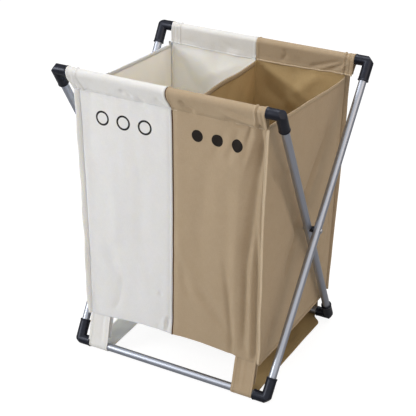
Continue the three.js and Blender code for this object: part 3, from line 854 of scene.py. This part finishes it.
def side_relief(hand, tone, y, z):
    seed = 13.2 if hand < 0 else 21.7
    lift = waves("side", y, z, seed) + 0.0016 * fill_out(z) + folds(y, z, SIDE_CREASES[tone])
    return np.minimum(lift, 0.0028)


def rear_relief(hand, tone, x, z):
    seed = 31.5 if hand < 0 else 44.9
    lift = waves("rear", x, z, seed) - 0.0032 * bump(x, JOIN, 0.0075)
    lift += seam_pull(x, z, seed + 3) + folds(x * hand, z, REAR_CREASES, 0.62 if hand > 0 else 0.35)
    return lift * (1 - smooth(z, 0.588, BAR_HEIGHT))


def join_line(z):
    """Where the two colours meet on the front: it wanders a little to the side."""
    return np.interp(z, [0.07, 0.12, 0.32, 0.42, 0.54, 0.566, 0.580, 0.594],
                     [0.0040, 0.0052, 0.0070, 0.0066, 0.0054, 0.0036, 0.0006, -0.0012])


def corner_x(hand, z, rear):
    """Where a bin's corner stands, on its own side."""
    if rear:
        return hand * np.interp(z, [0.06, 0.30, 0.575], [0.1955, 0.1990, 0.2030])
    if hand < 0:
        return -np.interp(z, [0.06, 0.142, 0.324, 0.446, 0.575], [0.1905, 0.1900, 0.1928, 0.1960, 0.2000])
    return np.interp(z, [0.06, 0.25, 0.42, 0.575], [0.1985, 0.1972, 0.1972, 0.2000])


def wall_y(way, z):
    """Where the front wall (way -1) or the rear wall (way 1) stands, sloping from its seam to its hem."""
    floor, top = (FRONT_FLOOR_Y, FRONT_TOP_Y) if way < 0 else (REAR_FLOOR_Y, REAR_TOP_Y)
    return np.interp(z, [HEM_HEIGHT, SEAM_HEIGHT], [floor, top])


def hem_lift(x):
    """The rear hem hangs a little in the middle and rises to its ends."""
    return 0.0038 * smooth(np.abs(x), 0.07, 0.21) - 0.0010


def bottom_height(kind, place):
    if kind == "side":
        return np.interp(place, [-0.18, -0.10, 0.0, 0.10, 0.19], [0.0690, 0.0668, 0.0655, 0.0655, 0.0690])
    known, heights = {
        "front": ([0, 0.02, 0.07, 0.12, 0.16, 0.20], [0.0765, 0.0790, 0.0792, 0.0760, 0.0718, 0.0690]),
        "rear": ([0, 0.03, 0.10, 0.16, 0.20], [0.0770, 0.0788, 0.0780, 0.0725, 0.0690])}[kind]
    return np.interp(np.abs(place - JOIN), known, heights)


def top_height(kind, place):
    if kind == "side":
        return np.interp(place, [-0.18, -0.16, -0.10, 0.0, 0.10, 0.17, 0.18],
                         [0.5700, 0.5716, 0.5700, 0.5662, 0.5628, 0.5618, 0.5625])
    return SEAM_HEIGHT + 0.0004 + (hem_lift(place) if kind == "rear" else 0 * place)


def wall_grid(hand, tone):
    """The outside of one bin's walls with soft corners, its flat coordinates and each part's columns."""
    turns = np.arange(1, CORNER_STEPS) / CORNER_STEPS
    shares = {"front": np.concatenate([np.linspace(0, 0.05, 11)[:-1], np.linspace(0.05, 1, 88)]),
              "front_corner": turns, "side": np.linspace(0, 1, 96), "side_corner": turns,
              "rear": np.linspace(0, 1, 64)}
    starts = np.cumsum([0] + [len(share) for share in shares.values()]).tolist()
    columns = {kind: slice(*ends) for kind, ends in zip(shares, zip(starts, starts[1:]))}
    places = {"front": JOIN + hand * shares["front"] * HALF_BAG,
              "side": SIDE_START + shares["side"] * SIDE_RUN,
              "rear": JOIN + hand * (1 - shares["rear"]) * HALF_BAG}

    def edge(height):
        """The heights of the walls' edges, carried evenly round the corners."""
        front, side, rear = (height(kind, place) for kind, place in places.items())
        return np.concatenate([front, front[-1] + turns * (side[0] - front[-1]), side,
                               side[-1] + turns * (rear[0] - side[-1]), rear])

    low, high = edge(bottom_height), edge(top_height)
    level = np.linspace(0, 1, WALL_ROWS)[:, None]
    z = low + level * (high - low)
    grid, lift, facing = np.zeros(z.shape + (3,)), np.zeros(z.shape), np.zeros((starts[-1], 3))
    for kind, share in shares.items():
        here = columns[kind]
        up, turn = z[:, here], share * QUARTER
        front_x, rear_x = corner_x(hand, up, False), corner_x(hand, up, True)
        front_y, rear_y = wall_y(-1, up), wall_y(1, up)
        if kind == "front":
            start = join_line(up) + hand * JOIN_GAP
            x, y = start + share * (front_x - hand * CORNER_RADIUS - start), front_y
            lift[:, here] = front_relief(hand, tone, x, up) * smooth(np.abs(front_x - x), 0.0015, 0.0105)
            facing[here] = (0, -1, 0)
        elif kind == "front_corner":
            x = front_x - hand * CORNER_RADIUS * (1 - np.sin(turn))
            y = front_y + CORNER_RADIUS * (1 - np.cos(turn))
        elif kind == "side":
            x = front_x + share * (rear_x - front_x)
            y = front_y + CORNER_RADIUS + share * (rear_y - front_y - 2 * CORNER_RADIUS)
            from_corner = np.minimum(y - front_y, rear_y - y)
            lift[:, here] = side_relief(hand, tone, y, up) * smooth(from_corner, 0.004, 0.026)
            facing[here] = (hand, 0, 0)
        elif kind == "side_corner":
            x = rear_x - hand * CORNER_RADIUS * (1 - np.cos(turn))
            y = rear_y - CORNER_RADIUS * (1 - np.sin(turn))
        else:
            start = rear_x - hand * CORNER_RADIUS
            x, y = start + share * (JOIN + hand * JOIN_GAP - start), rear_y
            lift[:, here] = rear_relief(hand, tone, x, up) * smooth(np.abs(rear_x - x), 0.002, 0.016)
            facing[here] = (0, 1, 0)
        grid[:, here] = stacked(x, y, up)
    flat = stacked(hand * walk(grid[WALL_ROWS // 2 + 1]) + JOIN, z)
    flat[:, columns["front"], 0] = grid[:, columns["front"], 0]
    # the bottom edge is held by the floor, so the folds partly die away into it
    held = smooth(level, 0.0, 0.06) * 0.6 + 0.4
    return grid + facing * (lift * held)[:, :, None], flat, columns


# ---------------------------------------------------------------- the two bins

stitches = {}


def sew_along(what, tone, path, normal):
    """Notes a row of stitches, to be sewn at the end."""
    stitches.setdefault((what, tone), []).append((path, normal))


def sew_on(what, tone, grid, normal, where):
    """Notes a row of stitches that lies on a sheet along one of its rows or columns."""
    sew_along(what, tone, grid[where] + normal[where] * THREAD_LIFT, normal[where])


def tab_span(hand, way):
    """Where a strap's tab starts and ends across the hamper."""
    if way < 0:
        return (-0.1825, -0.1370) if hand < 0 else (0.1530, 0.1985)
    return (-0.197, -0.153) if hand < 0 else (0.133, 0.177)


def bin_floor(hand, bottom, columns):
    """A sagging sheet between the walls' bottom edges, held up by the divider in the middle."""
    across, deep = (np.linspace(0, 1, count) for count in FLOOR_GRID)
    front = bottom[columns["front"]] + (0, 0.0008, 0.0004)
    rear = bottom[columns["rear"]][::-1] + (0, -0.0008, 0.0004)
    front, rear = (points_along(across, np.linspace(0, 1, len(edge)), edge) for edge in (front, rear))
    side = bottom[columns["front"].stop - 1:columns["rear"].start + 1]
    walked = walk(side)
    outer = points_along(deep * walked[-1], walked, side) + (-hand * 0.0008, 0, 0.0004)
    straight = front[-1] + deep[:, None] * (rear[-1] - front[-1])
    s, t = across[:, None], deep[:, None, None]
    floor = (1 - t) * front + t * rear + s ** 2 * (outer - straight)[:, None]
    deep = deep[:, None]
    wave = 0.0012 * ripple(floor[:, :, 0] * 22, floor[:, :, 1] * 20, 61.0 + hand)
    floor[:, :, 2] += wave * (arch(deep) * arch(across)) ** 0.5 - 0.0050 * arch(deep) * arch(across ** 0.8)
    return floor


def build_bin(hand, word, tone):
    grid, flat, columns = wall_grid(hand, tone)
    cloth = Sewn()
    normal = cloth.sheet(grid, flat, grid - (JOIN + hand * 0.1, 0, 0.3), inner_finish=1)
    floor = bin_floor(hand, grid[0], columns)
    cloth.sheet(floor, floor[:, :, :2], (0, 0, -1.0), inner_finish=1)

    def welt(seam, out, lean, tall, stitch_height, finish=0):
        """An upright seam's edge that stands out, with a row of stitches on both its faces."""
        thick = unit(np.cross(lean, UP))
        cloth.band(seam - out * 0.0012, lean, thick, tall, WELT, finish)
        for sign in (-1, 1):
            row = seam + lean * stitch_height + sign * thick * WELT_STITCH
            sew_along("bin", tone, row[4:-3], sign * thick[4:-3])

    # where the front and the side are sewn together; its welt takes the folded-edge finish with its painted
    # highlight
    base = grid[::-1, columns["front_corner"].start + 1]
    height = base[:, 2]
    out, aside = unit(np.array([[hand, -1.0, 0], [hand, 1.0, 0]]))
    tall = (0.0118 if hand < 0 else 0.0102) + 0.0012 * ripple(height * 18, 0, 70.0 + hand)
    lean = unit(out + aside * (0.10 + 0.16 * ripple(height * 7, 0, 78.0 + hand))[:, None])
    welt(base + aside * (0.0011 * ripple(height * 11, 0, 75.0 + hand))[:, None], out, lean,
         tall * (0.72 + 0.28 * smooth(height, 0.07, 0.11)), 0.0034, finish=2)
    # where the side and the back are, with the seam allowance that stands up inside
    base = grid[::-1, columns["side_corner"].start + 2]
    height = base[:, 2]
    out, aside = unit(np.array([[hand, 0.45, 0], [-hand, 1.0, 0]]))
    tall = 0.0082 + 0.0034 * smooth(height, 0.10, 0.45) + 0.0008 * ripple(height * 16, 0, 82.0 + hand)
    lean = unit(out + aside * (0.16 * ripple(height * 6, 0, 86.0 + hand))[:, None])
    welt(base, out, lean, tall, 0.0030)
    inner = base - unit(np.array([hand, 1.0, 0])) * (CLOTH + 0.0016)
    cloth.band(inner[2:-2], (-hand, -0.35, 0), (hand * 0.35, -1.0, 0), ALLOWANCE_TALL, ALLOWANCE_THICK,
               finish=1, flat_height=0.6)
    # the welts under the back wall and under the side wall
    uneven = 0.0090 + 0.0008 * ripple(grid[0, columns["rear"], 0] * 30, 0, 88.0 + hand)
    for kind, out, thick, tall in (("rear", (0, 0.25, -1.0), (0, 1.0, 0.25), uneven),
                                   ("side", (hand * 0.55, 0, -0.6), (0.6, 0, hand * 0.55), 0.0044)):
        cloth.band(grid[0, columns[kind]] - unit(np.array(out)) * 0.001, out, thick, tall, UNDER_WELT)
    # the hem along the side wall's top edge; on the cream bin it takes the inside finish with its painted
    # light, so that its shaded face doesn't turn grey
    facing = normal[-1, columns["side"]]
    path = grid[-1, columns["side"]] - facing * (CLOTH / 2) - (0, 0, HEM_DROP)
    cloth.band(path, UP, facing, HEM_TALL, HEM_THICK, finish=1 if hand < 0 else 0, flat_height=0.56)
    for sign in (-1, 1):
        sew_along("bin", tone, path + (0, 0, 0.0016) + sign * facing * HEM_STITCH, sign * facing)
    # the bag's own end of each strap, which hangs behind the tab
    for way, wall in ((-1, FRONT_FLOOR_Y), (1, REAR_FLOOR_Y)):
        low, high = tab_span(hand, way)
        wide, steps = np.linspace(low + 0.0015, high - 0.0015, 18), np.linspace(0, 1, 16)[:, None]
        y = wall + way * (np.interp(steps, [0.2, 1], [0, 0.0105]) - 0.0036 - 0.0004 * np.sin(wide * 300))
        strip = stacked(wide, y, 0.0785 - steps * 0.0525)
        cloth.sheet(strip, strip[:, :, [0, 2]], (0, way, 0), TAB_CLOTH)
    used = finishes[tone]
    piece = cloth.finished(f"{word}_bin_cloth", [used["front"], used["inside"], used["edge"]])
    belongs(piece, "bag", [f"{word}_bin"], BAG_FOLD)
    return grid


bin_grids = [build_bin(*each) for each in BINS]


# ---------------------------------------------------------------- sleeves round the top bars

def touch(foot, radius, sense):
    """The angle at which a line from foot touches a circle about the origin."""
    return math.atan2(foot[1], foot[0]) + sense * math.acos(radius / math.hypot(*foot))


def sleeve_profile():
    """From the wall's top edge over the bar and down to the hem on the inside: (out, up) from the bar."""
    radius = TUBE_RADIUS + TUBE_FIT + CLOTH
    outer_foot, inner_foot = (-0.0048, -0.0340), (-0.0074, -0.0352)
    turns = np.linspace(touch(outer_foot, radius, 1), touch(inner_foot, radius, -1) + 2 * math.pi, 26)
    over = [(math.cos(turn) * radius, math.sin(turn) * radius) for turn in turns]
    return np.concatenate([np.linspace(outer_foot, over[0], 13)[:-1], over,
                           np.linspace(over[-1], inner_foot, 13)[1:]])


# heights, places and widths of the ridges and dips of the hem at a sleeve's end, from its edge inwards
SLEEVE_END = ((0.0013, 0.0022, 0.0022), (-0.0007, 0.0086, 0.0011), (-0.0010, 0.0172, 0.0013),
              (0.0021, 0.0208, 0.0021))
SLEEVE_END_STITCHES = (0.0086, 0.0172)
join_lines = {}


def build_sleeve(end, way, hand, word, tone):
    front = way < 0
    profile = sleeve_profile()
    out, up = profile[:, :1], BAR_HEIGHT + profile[:, 1:]
    slope = unit(np.gradient(profile, axis=0))
    face_out, face_up = slope[:, 1:], -slope[:, :1]
    walked = walk(profile)[:, None]
    top = profile[:, 1].argmax()
    share = np.concatenate([np.linspace(0, 0.08, 17)[:-1], np.linspace(0.08, 0.87, 62)[:-1],
                            np.linspace(0.87, 1, 29)])
    if hand == way:
        # the outer end runs in towards the corner of the bag below the bar
        ends = SLEEVE_OUTER - (0.0085 if front else 0.0015) * (1 - smooth(up, SEAM_HEIGHT, 0.592))
    else:
        ends = SLEEVE_INNER + 0 * up
    centre = (join_line(up) if front else JOIN) + hand * JOIN_GAP
    x = centre + share * (hand * ends - centre)
    z = up + 0 * x
    outer = (front_relief if front else rear_relief)(hand, tone, x[:top], z[:top])
    x_in, z_in = x[top:], z[top:]
    near = 1 - smooth(z_in, SEAM_HEIGHT, 0.596)
    inner = (0.0012 * ripple(x_in * 38, z_in * 26, 91.0 + way) * (0.25 + near)
             + 0.0006 * ripple(x_in * 90, z_in * 40, 95.0 + way) * near)
    if not front:
        inner += folds(x_in, z_in, REAR_SLEEVE_CREASES[tone])
    from_end, from_join = np.abs(hand * ends - x), np.abs(x - centre)
    relief = np.concatenate([outer, inner]) * (0.35 + 0.65 * smooth(from_end, 0.004, 0.020))
    # no fold dips into the bar
    relief = np.where(relief < 0, relief * (1 - smooth(up, BAR_HEIGHT, 0.604)), relief)
    relief += sum(height * bump(from_end, place, width) for height, place, width in SLEEVE_END)
    puckers = 0.0007 + 0.0006 * ripple(x * 260, z * 60, 140.0 + way)
    relief += puckers * (1 - smooth(from_end, 0.0110, 0.0160))
    relief += (0.0010 if hand < 0 else 0.0014) * bump(from_join, 0.0034, 0.0024)
    relief -= 0.0016 * bump(from_join, 0, 0.0014)
    relief += 0.0008 * (1 - smooth(walked[-1] - walked, 0.0056, 0.0068))
    z = up + face_up * relief
    if not front:
        z = z + hem_lift(x) * (1 - smooth(up, SEAM_HEIGHT, 0.592))
    grid = stacked(x, way * (BAR_REACH + out + face_out * relief), z)
    cloth = Sewn()
    normal = cloth.sheet(grid, stacked(x, SEAM_HEIGHT + walked), stacked(0 * x, way * face_out, face_up))
    if hand > 0:
        join_lines[end] = grid[:-2, 0] + normal[:-2, 0] * 0.0004 - (0.0002, 0, 0)
    seams = [np.s_[2, 2:-16], np.s_[len(profile) - 5, 2:-3]]
    seams += [np.s_[1:-1, np.abs(from_end[top] - distance).argmin()] for distance in SLEEVE_END_STITCHES]
    for where in seams:
        sew_on(f"{end}_sleeve", tone, grid, normal, where)
    # the hem takes the folded-edge finish, with its painted highlight
    cloth.band(grid[-1] - (0, 0, 0.0006) + normal[-1] * 0.0002, UP, normal[-1], SLEEVE_HEM_TALL,
               SLEEVE_HEM_THICK[tone], finish=1, flat_height=0.3)
    piece = cloth.finished(f"{end}_sleeve_{word}_cloth", [finishes[tone]["plain"], finishes[tone]["edge"]])
    belongs(piece, "bag" if front else "rear_sleeve", [f"{end}_sleeve_{word}"])


for end, way in (("front", -1), ("rear", 1)):
    for each in BINS:
        build_sleeve(end, way, *each)


# ---------------------------------------------------------------- divider between the bins

def build_divider():
    deep, level = (np.linspace(0, 1, count) for count in DIVIDER_GRID)
    low = 0.0755 - 0.004 * arch(deep)
    high = np.interp(deep, [0, 0.25, 0.5, 0.72, 0.9, 1], [0.5650, 0.5590, 0.5570, 0.5578, 0.5600, 0.5610])
    z = low + level[:, None] * (high - low)
    front, rear = wall_y(-1, z) + DIVIDER_FRONT_GAP, wall_y(1, z) - DIVIDER_REAR_GAP
    y = front + deep * (rear - front)
    slack = waves("divider", y, z, 110.0) + folds(y, z, DIVIDER_CREASES)
    x = JOIN + (join_line(z) - JOIN) * (1 - smooth(deep, 0, 0.5))
    x = x + arch(deep) ** 0.6 * smooth(z, 0.072, 0.13) * slack
    grid = stacked(x, y, z)
    cloth = Sewn()
    cloth.sheet(grid, stacked(y, z), SIDEWAYS)
    # the seam allowances that hold its two upright edges to the front and the back wall
    for edge, wall, sense in ((0, wall_y(-1, z[:, 0]) + 0.0040, 1), (-1, wall_y(1, z[:, -1]) - 0.0036, -1)):
        cloth.band(stacked(x[:, edge], wall, z[:, edge]), (0, sense, 0), SIDEWAYS, 0.0062, 0.0030)
    path = grid[-1] - (CLOTH / 2, 0, DIVIDER_HEM_DROP)
    cloth.band(path, UP, SIDEWAYS, DIVIDER_HEM_TALL, DIVIDER_HEM_THICK, finish=1)
    for sign in (-1, 1):
        sew_along("bin", "tan", path[1:-1] + (sign * DIVIDER_HEM_STITCH, 0, 0.0017), (sign, 0, 0))
    piece = cloth.finished("divider_cloth", [finishes["tan"]["inside"], finishes["tan"]["plain"]])
    belongs(piece, "bag", ["divider"], BAG_FOLD)


build_divider()


# ---------------------------------------------------------------- straps

def tab_path(way):
    """(out, height) of a tab's face, from inside the wall down round the bar, and how far along each is."""
    radius = TUBE_RADIUS + TUBE_FIT + TAB_CLOTH
    start = ((-FRONT_FLOOR_Y if way < 0 else REAR_FLOOR_Y) - 0.0016, 0.0745)
    first = touch((start[0] - FOOT_REACH, start[1] - FOOT_HEIGHT), radius, -1)
    bend = [(FOOT_REACH + math.cos(turn) * radius, FOOT_HEIGHT + math.sin(turn) * radius)
            for turn in np.linspace(first, -QUARTER, 14)]
    points = np.array([(start[0], 0.0762), start, *bend, (FOOT_REACH - 0.0006, FOOT_HEIGHT - radius)])
    walked = walk(points)
    even = np.linspace(0, walked[-1], TAB_GRID[1])
    return points_along(even, walked, points), even[:, None]


def build_tab(end, way, hand, word, tone):
    path, walked = tab_path(way)
    low, high = tab_span(hand, way)
    share = np.linspace(0, 1, TAB_GRID[0])
    out, height = path[:, :1], path[:, 1:]
    slope = unit(np.gradient(path, axis=0))
    face_out, face_up = -slope[:, 1:], slope[:, :1]
    x = low + share * (high - low)
    shift = (-0.0042 if hand > 0 else -0.0062) * smooth(height, 0.015, 0.075) * (way < 0)
    # on the free stretch the band is slightly cupped, with one long crease and rolled side hems
    free = smooth(height, 0.012, 0.030) * (1 - smooth(height, 0.066, 0.080))
    line = 0.30 if hand > 0 else 0.62
    cup = 0.0010 * bump(share, line + 0.17, 0.08) - 0.0012 * bump(share, line, 0.09) - 0.0016 * arch(share)
    hem = 0.0006 * (1 - smooth(np.minimum(share, 1 - share) * (high - low), 0.0052, 0.0064))
    relief = free * (cup + 0.0003 * ripple(x * 40, height * 24, 120.0 + hand + way)) + hem
    relief = relief * smooth(height, 0.004, 0.010)
    grid = stacked(x + shift, way * (out + face_out * relief), height + face_up * relief)
    cloth = Sewn()
    normal = cloth.sheet(grid, stacked(x, walked), stacked(0 * relief, way * face_out, face_up), TAB_CLOTH)
    for column in (5, -6):
        sew_on(f"{end}_tab", tone, grid, normal, np.s_[2:-2, column])
    piece = cloth.finished(f"strap_{end}_{word}_cloth", [finishes[tone]["plain"]])
    belongs(piece, f"{end}_straps", [f"strap_{end}_{word}"])


def build_ribbon(hand, word, tone):
    """The stretch of strap that lies under the hamper from the front bar to the back one."""
    share, deep = (np.linspace(0, 1, count) for count in RIBBON_GRID)
    if hand < 0:
        left, right = (np.interp(deep, [0, 1], sides) for sides in zip(tab_span(hand, -1), tab_span(hand, 1)))
    else:
        # it runs straight back beside the leg, and only turns in to its tab behind the bag
        left = np.interp(deep, [0, 0.10, 0.5, 0.86, 0.94, 1],
                         [0.1530, 0.1542, 0.1545, 0.1530, 0.1360, 0.1330])
        right = np.interp(deep, [0, 0.08, 0.5, 0.92, 0.965, 1],
                          [0.1985, 0.1988, 0.1990, 0.1987, 0.1780, 0.1770])
        round_off = np.hanning(11) / np.hanning(11).sum()
        left, right = (np.convolve(np.pad(side, 5, mode="edge"), round_off, mode="valid")
                       for side in (left, right))
    left, right, deep = left[:, None], right[:, None], deep[:, None]
    x = left + share * (right - left)
    y = FOOT_REACH * (2 * deep - 1) + 0 * x
    free = smooth(np.minimum(deep, 1 - deep), 0.02, 0.12)
    hem = 0.0004 * (1 - smooth(np.minimum(share, 1 - share) * RIBBON_WIDTH, 0.0048, 0.0060))
    wave = 0.0016 * (0.6 + ripple(x * 22, y * 9, 131.0 + hand)) + 0.0006 * ripple(x * 70, y * 22, 133.0)
    grid = stacked(x, y, RIBBON_HEIGHT + np.maximum(free * (hem + wave), 0))
    cloth = Sewn()
    normal = cloth.sheet(grid, grid[:, :, :2], UP, RIBBON_CLOTH)
    for column in (4, -5):
        sew_on("ribbon", tone, grid, normal, np.s_[2:-2, column])
    piece = cloth.finished(f"strap_floor_{word}_cloth", [finishes[tone]["strap"]])
    belongs(piece, "front_straps", [f"strap_floor_{word}"], RIBBON_FOLD[tone])


for each in BINS:
    build_tab("front", -1, *each)
    build_tab("rear", 1, *each)
    build_ribbon(*each)


# ---------------------------------------------------------------- thread and the join's cord

for hand, word, tone in BINS:
    for what, body, fold in (("bin", "bag", BAG_FOLD), ("front_sleeve", "bag", None),
                             ("rear_sleeve", "rear_sleeve", None), ("front_tab", "front_straps", None),
                             ("rear_tab", "rear_straps", None),
                             ("ribbon", "front_straps", RIBBON_FOLD[tone])):
        piece = stitch_row.make(f"{what}_stitches_{tone}", stitches[what, tone], Pitch=STITCH_PITCH,
                                Stitch=STITCH_LENGTH, Thread=THREAD, Finish=finishes[tone]["thread"])
        belongs(piece, body, fold=fold)

# the divider's raw edge shows as a thin brown line in the seam between the colours; its dark brown is partly
# painted shadow, for the shade in the seam's narrow gap, and on the rear sleeve the cord takes the tan folded
# edge with its painted highlight
tan_grid = bin_grids[1]
bag_join = [tan_grid[:, 0] - (0.0002, 0.0003, 0), tan_grid[:, -1] - (0.0002, -0.0003, 0)]
for name, paths, spacing, finish, body, fold in (
        ("join_cord", bag_join, 0.004, brown_edge_and_seam_shadow, "bag", BAG_FOLD),
        ("front_sleeve_join_cord", [join_lines["front"]], 0.003, brown_edge_and_seam_shadow, "bag", None),
        ("rear_sleeve_join_cord", [join_lines["rear"]], 0.003, finishes["tan"]["edge"], "rear_sleeve", None)):
    cord = rod_along.make(name, [(path, UP) for path in paths], Radius=CORD_RADIUS, Sides=CORD_SIDES,
                          Spacing=spacing, Finish=finish)
    cord.data.shade_smooth()
    cord.data.uv_layers.new(name="cloth")
    belongs(cord, body, fold=fold)


# ---------------------------------------------------------------- studio

def rays_seen(start, shine):
    """How far a ray counts as seen, 1 if straight and shine if off a shiny surface; and 1 for the latter."""
    rays = start.node("ShaderNodeLightPath")
    shiny = rays.other(3)
    return rays.larger(shiny * shine).larger(rays.other(6)), shiny


def build_studio():
    mesh = bpy.data.meshes.new("studio_floor")
    mesh.from_pydata([(-9, -9, 0), (9, -9, 0), (9, 9, 0), (-9, 9, 0)], [], [(0, 1, 2, 3)])
    material, start = new_finish("studio floor")
    seen, shiny = rays_seen(start, 0.08)
    # painted reflection: shiny surfaces see the floor darker and a little bluer than other light does
    floor_bounce_and_dark_reflection = start.node("ShaderNodeBsdfDiffuse", {}, {"Color": shiny.mix(grey(0.7), grey(0.32, 0.33))})
    paper = start.place().cloudy(3, 3.0).mix(grey(0.24), grey(0.26))
    shown = start.node("ShaderNodeAddShader", {}, {
        0: start.node("ShaderNodeBsdfDiffuse", {}, {"Color": paper}),
        1: start.node("ShaderNodeEmission", {}, {"Color": grey(1), "Strength": 0.88})})
    both = start.node("ShaderNodeMixShader", {}, {0: seen, 1: floor_bounce_and_dark_reflection, 2: shown})
    start.node("ShaderNodeOutputMaterial", {}, {"Surface": both})
    mesh.materials.append(material)
    show("studio_floor", mesh)

    # painted reflections: shiny surfaces alone see white walls with dark gaps between them, which nothing
    # else in the studio has
    world = bpy.data.worlds.new("studio")
    bpy.context.scene.world = world
    world.use_nodes = True
    world.node_tree.nodes.clear()
    start = Shade(world.node_tree)
    seen, shiny = rays_seen(start, 1)
    ambient = start.node("ShaderNodeBackground", {}, {"Color": grey(1), "Strength": 0.54})
    across = start.node("ShaderNodeSeparateXYZ", {}, {0: start.node("ShaderNodeTexCoord")})
    ahead = across.other(1)
    painted_reflection_gaps = (ahead * 0.5 - across * 0.87).between(0.25, 0.75) * 0.9
    painted_reflection_gaps = painted_reflection_gaps + (across * 0.93 + ahead * 0.37).between(0.8, 1.0)
    walls = start.node("ShaderNodeBackground", {}, {
        "Color": (painted_reflection_gaps * shiny).mix(grey(1), grey(0.16, 0.17)), "Strength": 1.0})
    both = start.node("ShaderNodeMixShader", {}, {0: seen, 1: ambient, 2: walls})
    start.node("ShaderNodeOutputWorld", {}, {"Surface": both})

    for name, place, height, size, power, tone in (
            ("key", (-2.5, -2.4, 1.9), 0.35, 1.6, 61, (1, 1, 1)),
            ("fill", (2.5, -0.7, 2.1), 0.45, 2.6, 13.5, (1, 0.74, 0.50)),
            ("top", (0.1, 0.1, 3.0), 0.3, 1.8, 27, (1, 1, 1))):
        data = bpy.data.lights.new(name, "AREA")
        data.shape, data.size, data.energy, data.color = "DISK", size, power, tone
        lamp = bpy.data.objects.new(name, data)
        lamp.location = place
        lamp.rotation_euler = (Vector((0, 0, height)) - Vector(place)).to_track_quat("-Z", "Y").to_euler()
        bpy.context.scene.collection.objects.link(lamp)


def build_camera():
    """At the photograph's own angle, distance and slight tilt."""
    azimuth, elevation, roll = math.radians(27.48), math.radians(25.38), math.radians(1.7)
    aim, distance, sensor, pixels, focal_pixels = Vector((-0.00766, 0, 0.2902)), 2.3474, 36.0, 416, 1137
    back = Vector((math.sin(azimuth) * math.cos(elevation), -math.cos(azimuth) * math.cos(elevation),
                   math.sin(elevation)))
    right = (-back).cross(Vector(UP)).normalized()
    up = right.cross(-back)
    right, up = right * math.cos(roll) + up * math.sin(roll), up * math.cos(roll) - right * math.sin(roll)
    data = bpy.data.cameras.new("camera")
    data.sensor_width, data.lens = sensor, focal_pixels / pixels * sensor
    data.clip_start, data.clip_end = 0.1, 50
    camera = bpy.data.objects.new("camera", data)
    turn = Matrix((right, up, back)).transposed().to_4x4()
    camera.matrix_world = Matrix.Translation(aim + back * distance) @ turn
    bpy.context.scene.collection.objects.link(camera)
    bpy.context.scene.camera = camera


build_studio()
build_camera()
bpy.context.scene.view_settings.view_transform = "Standard"
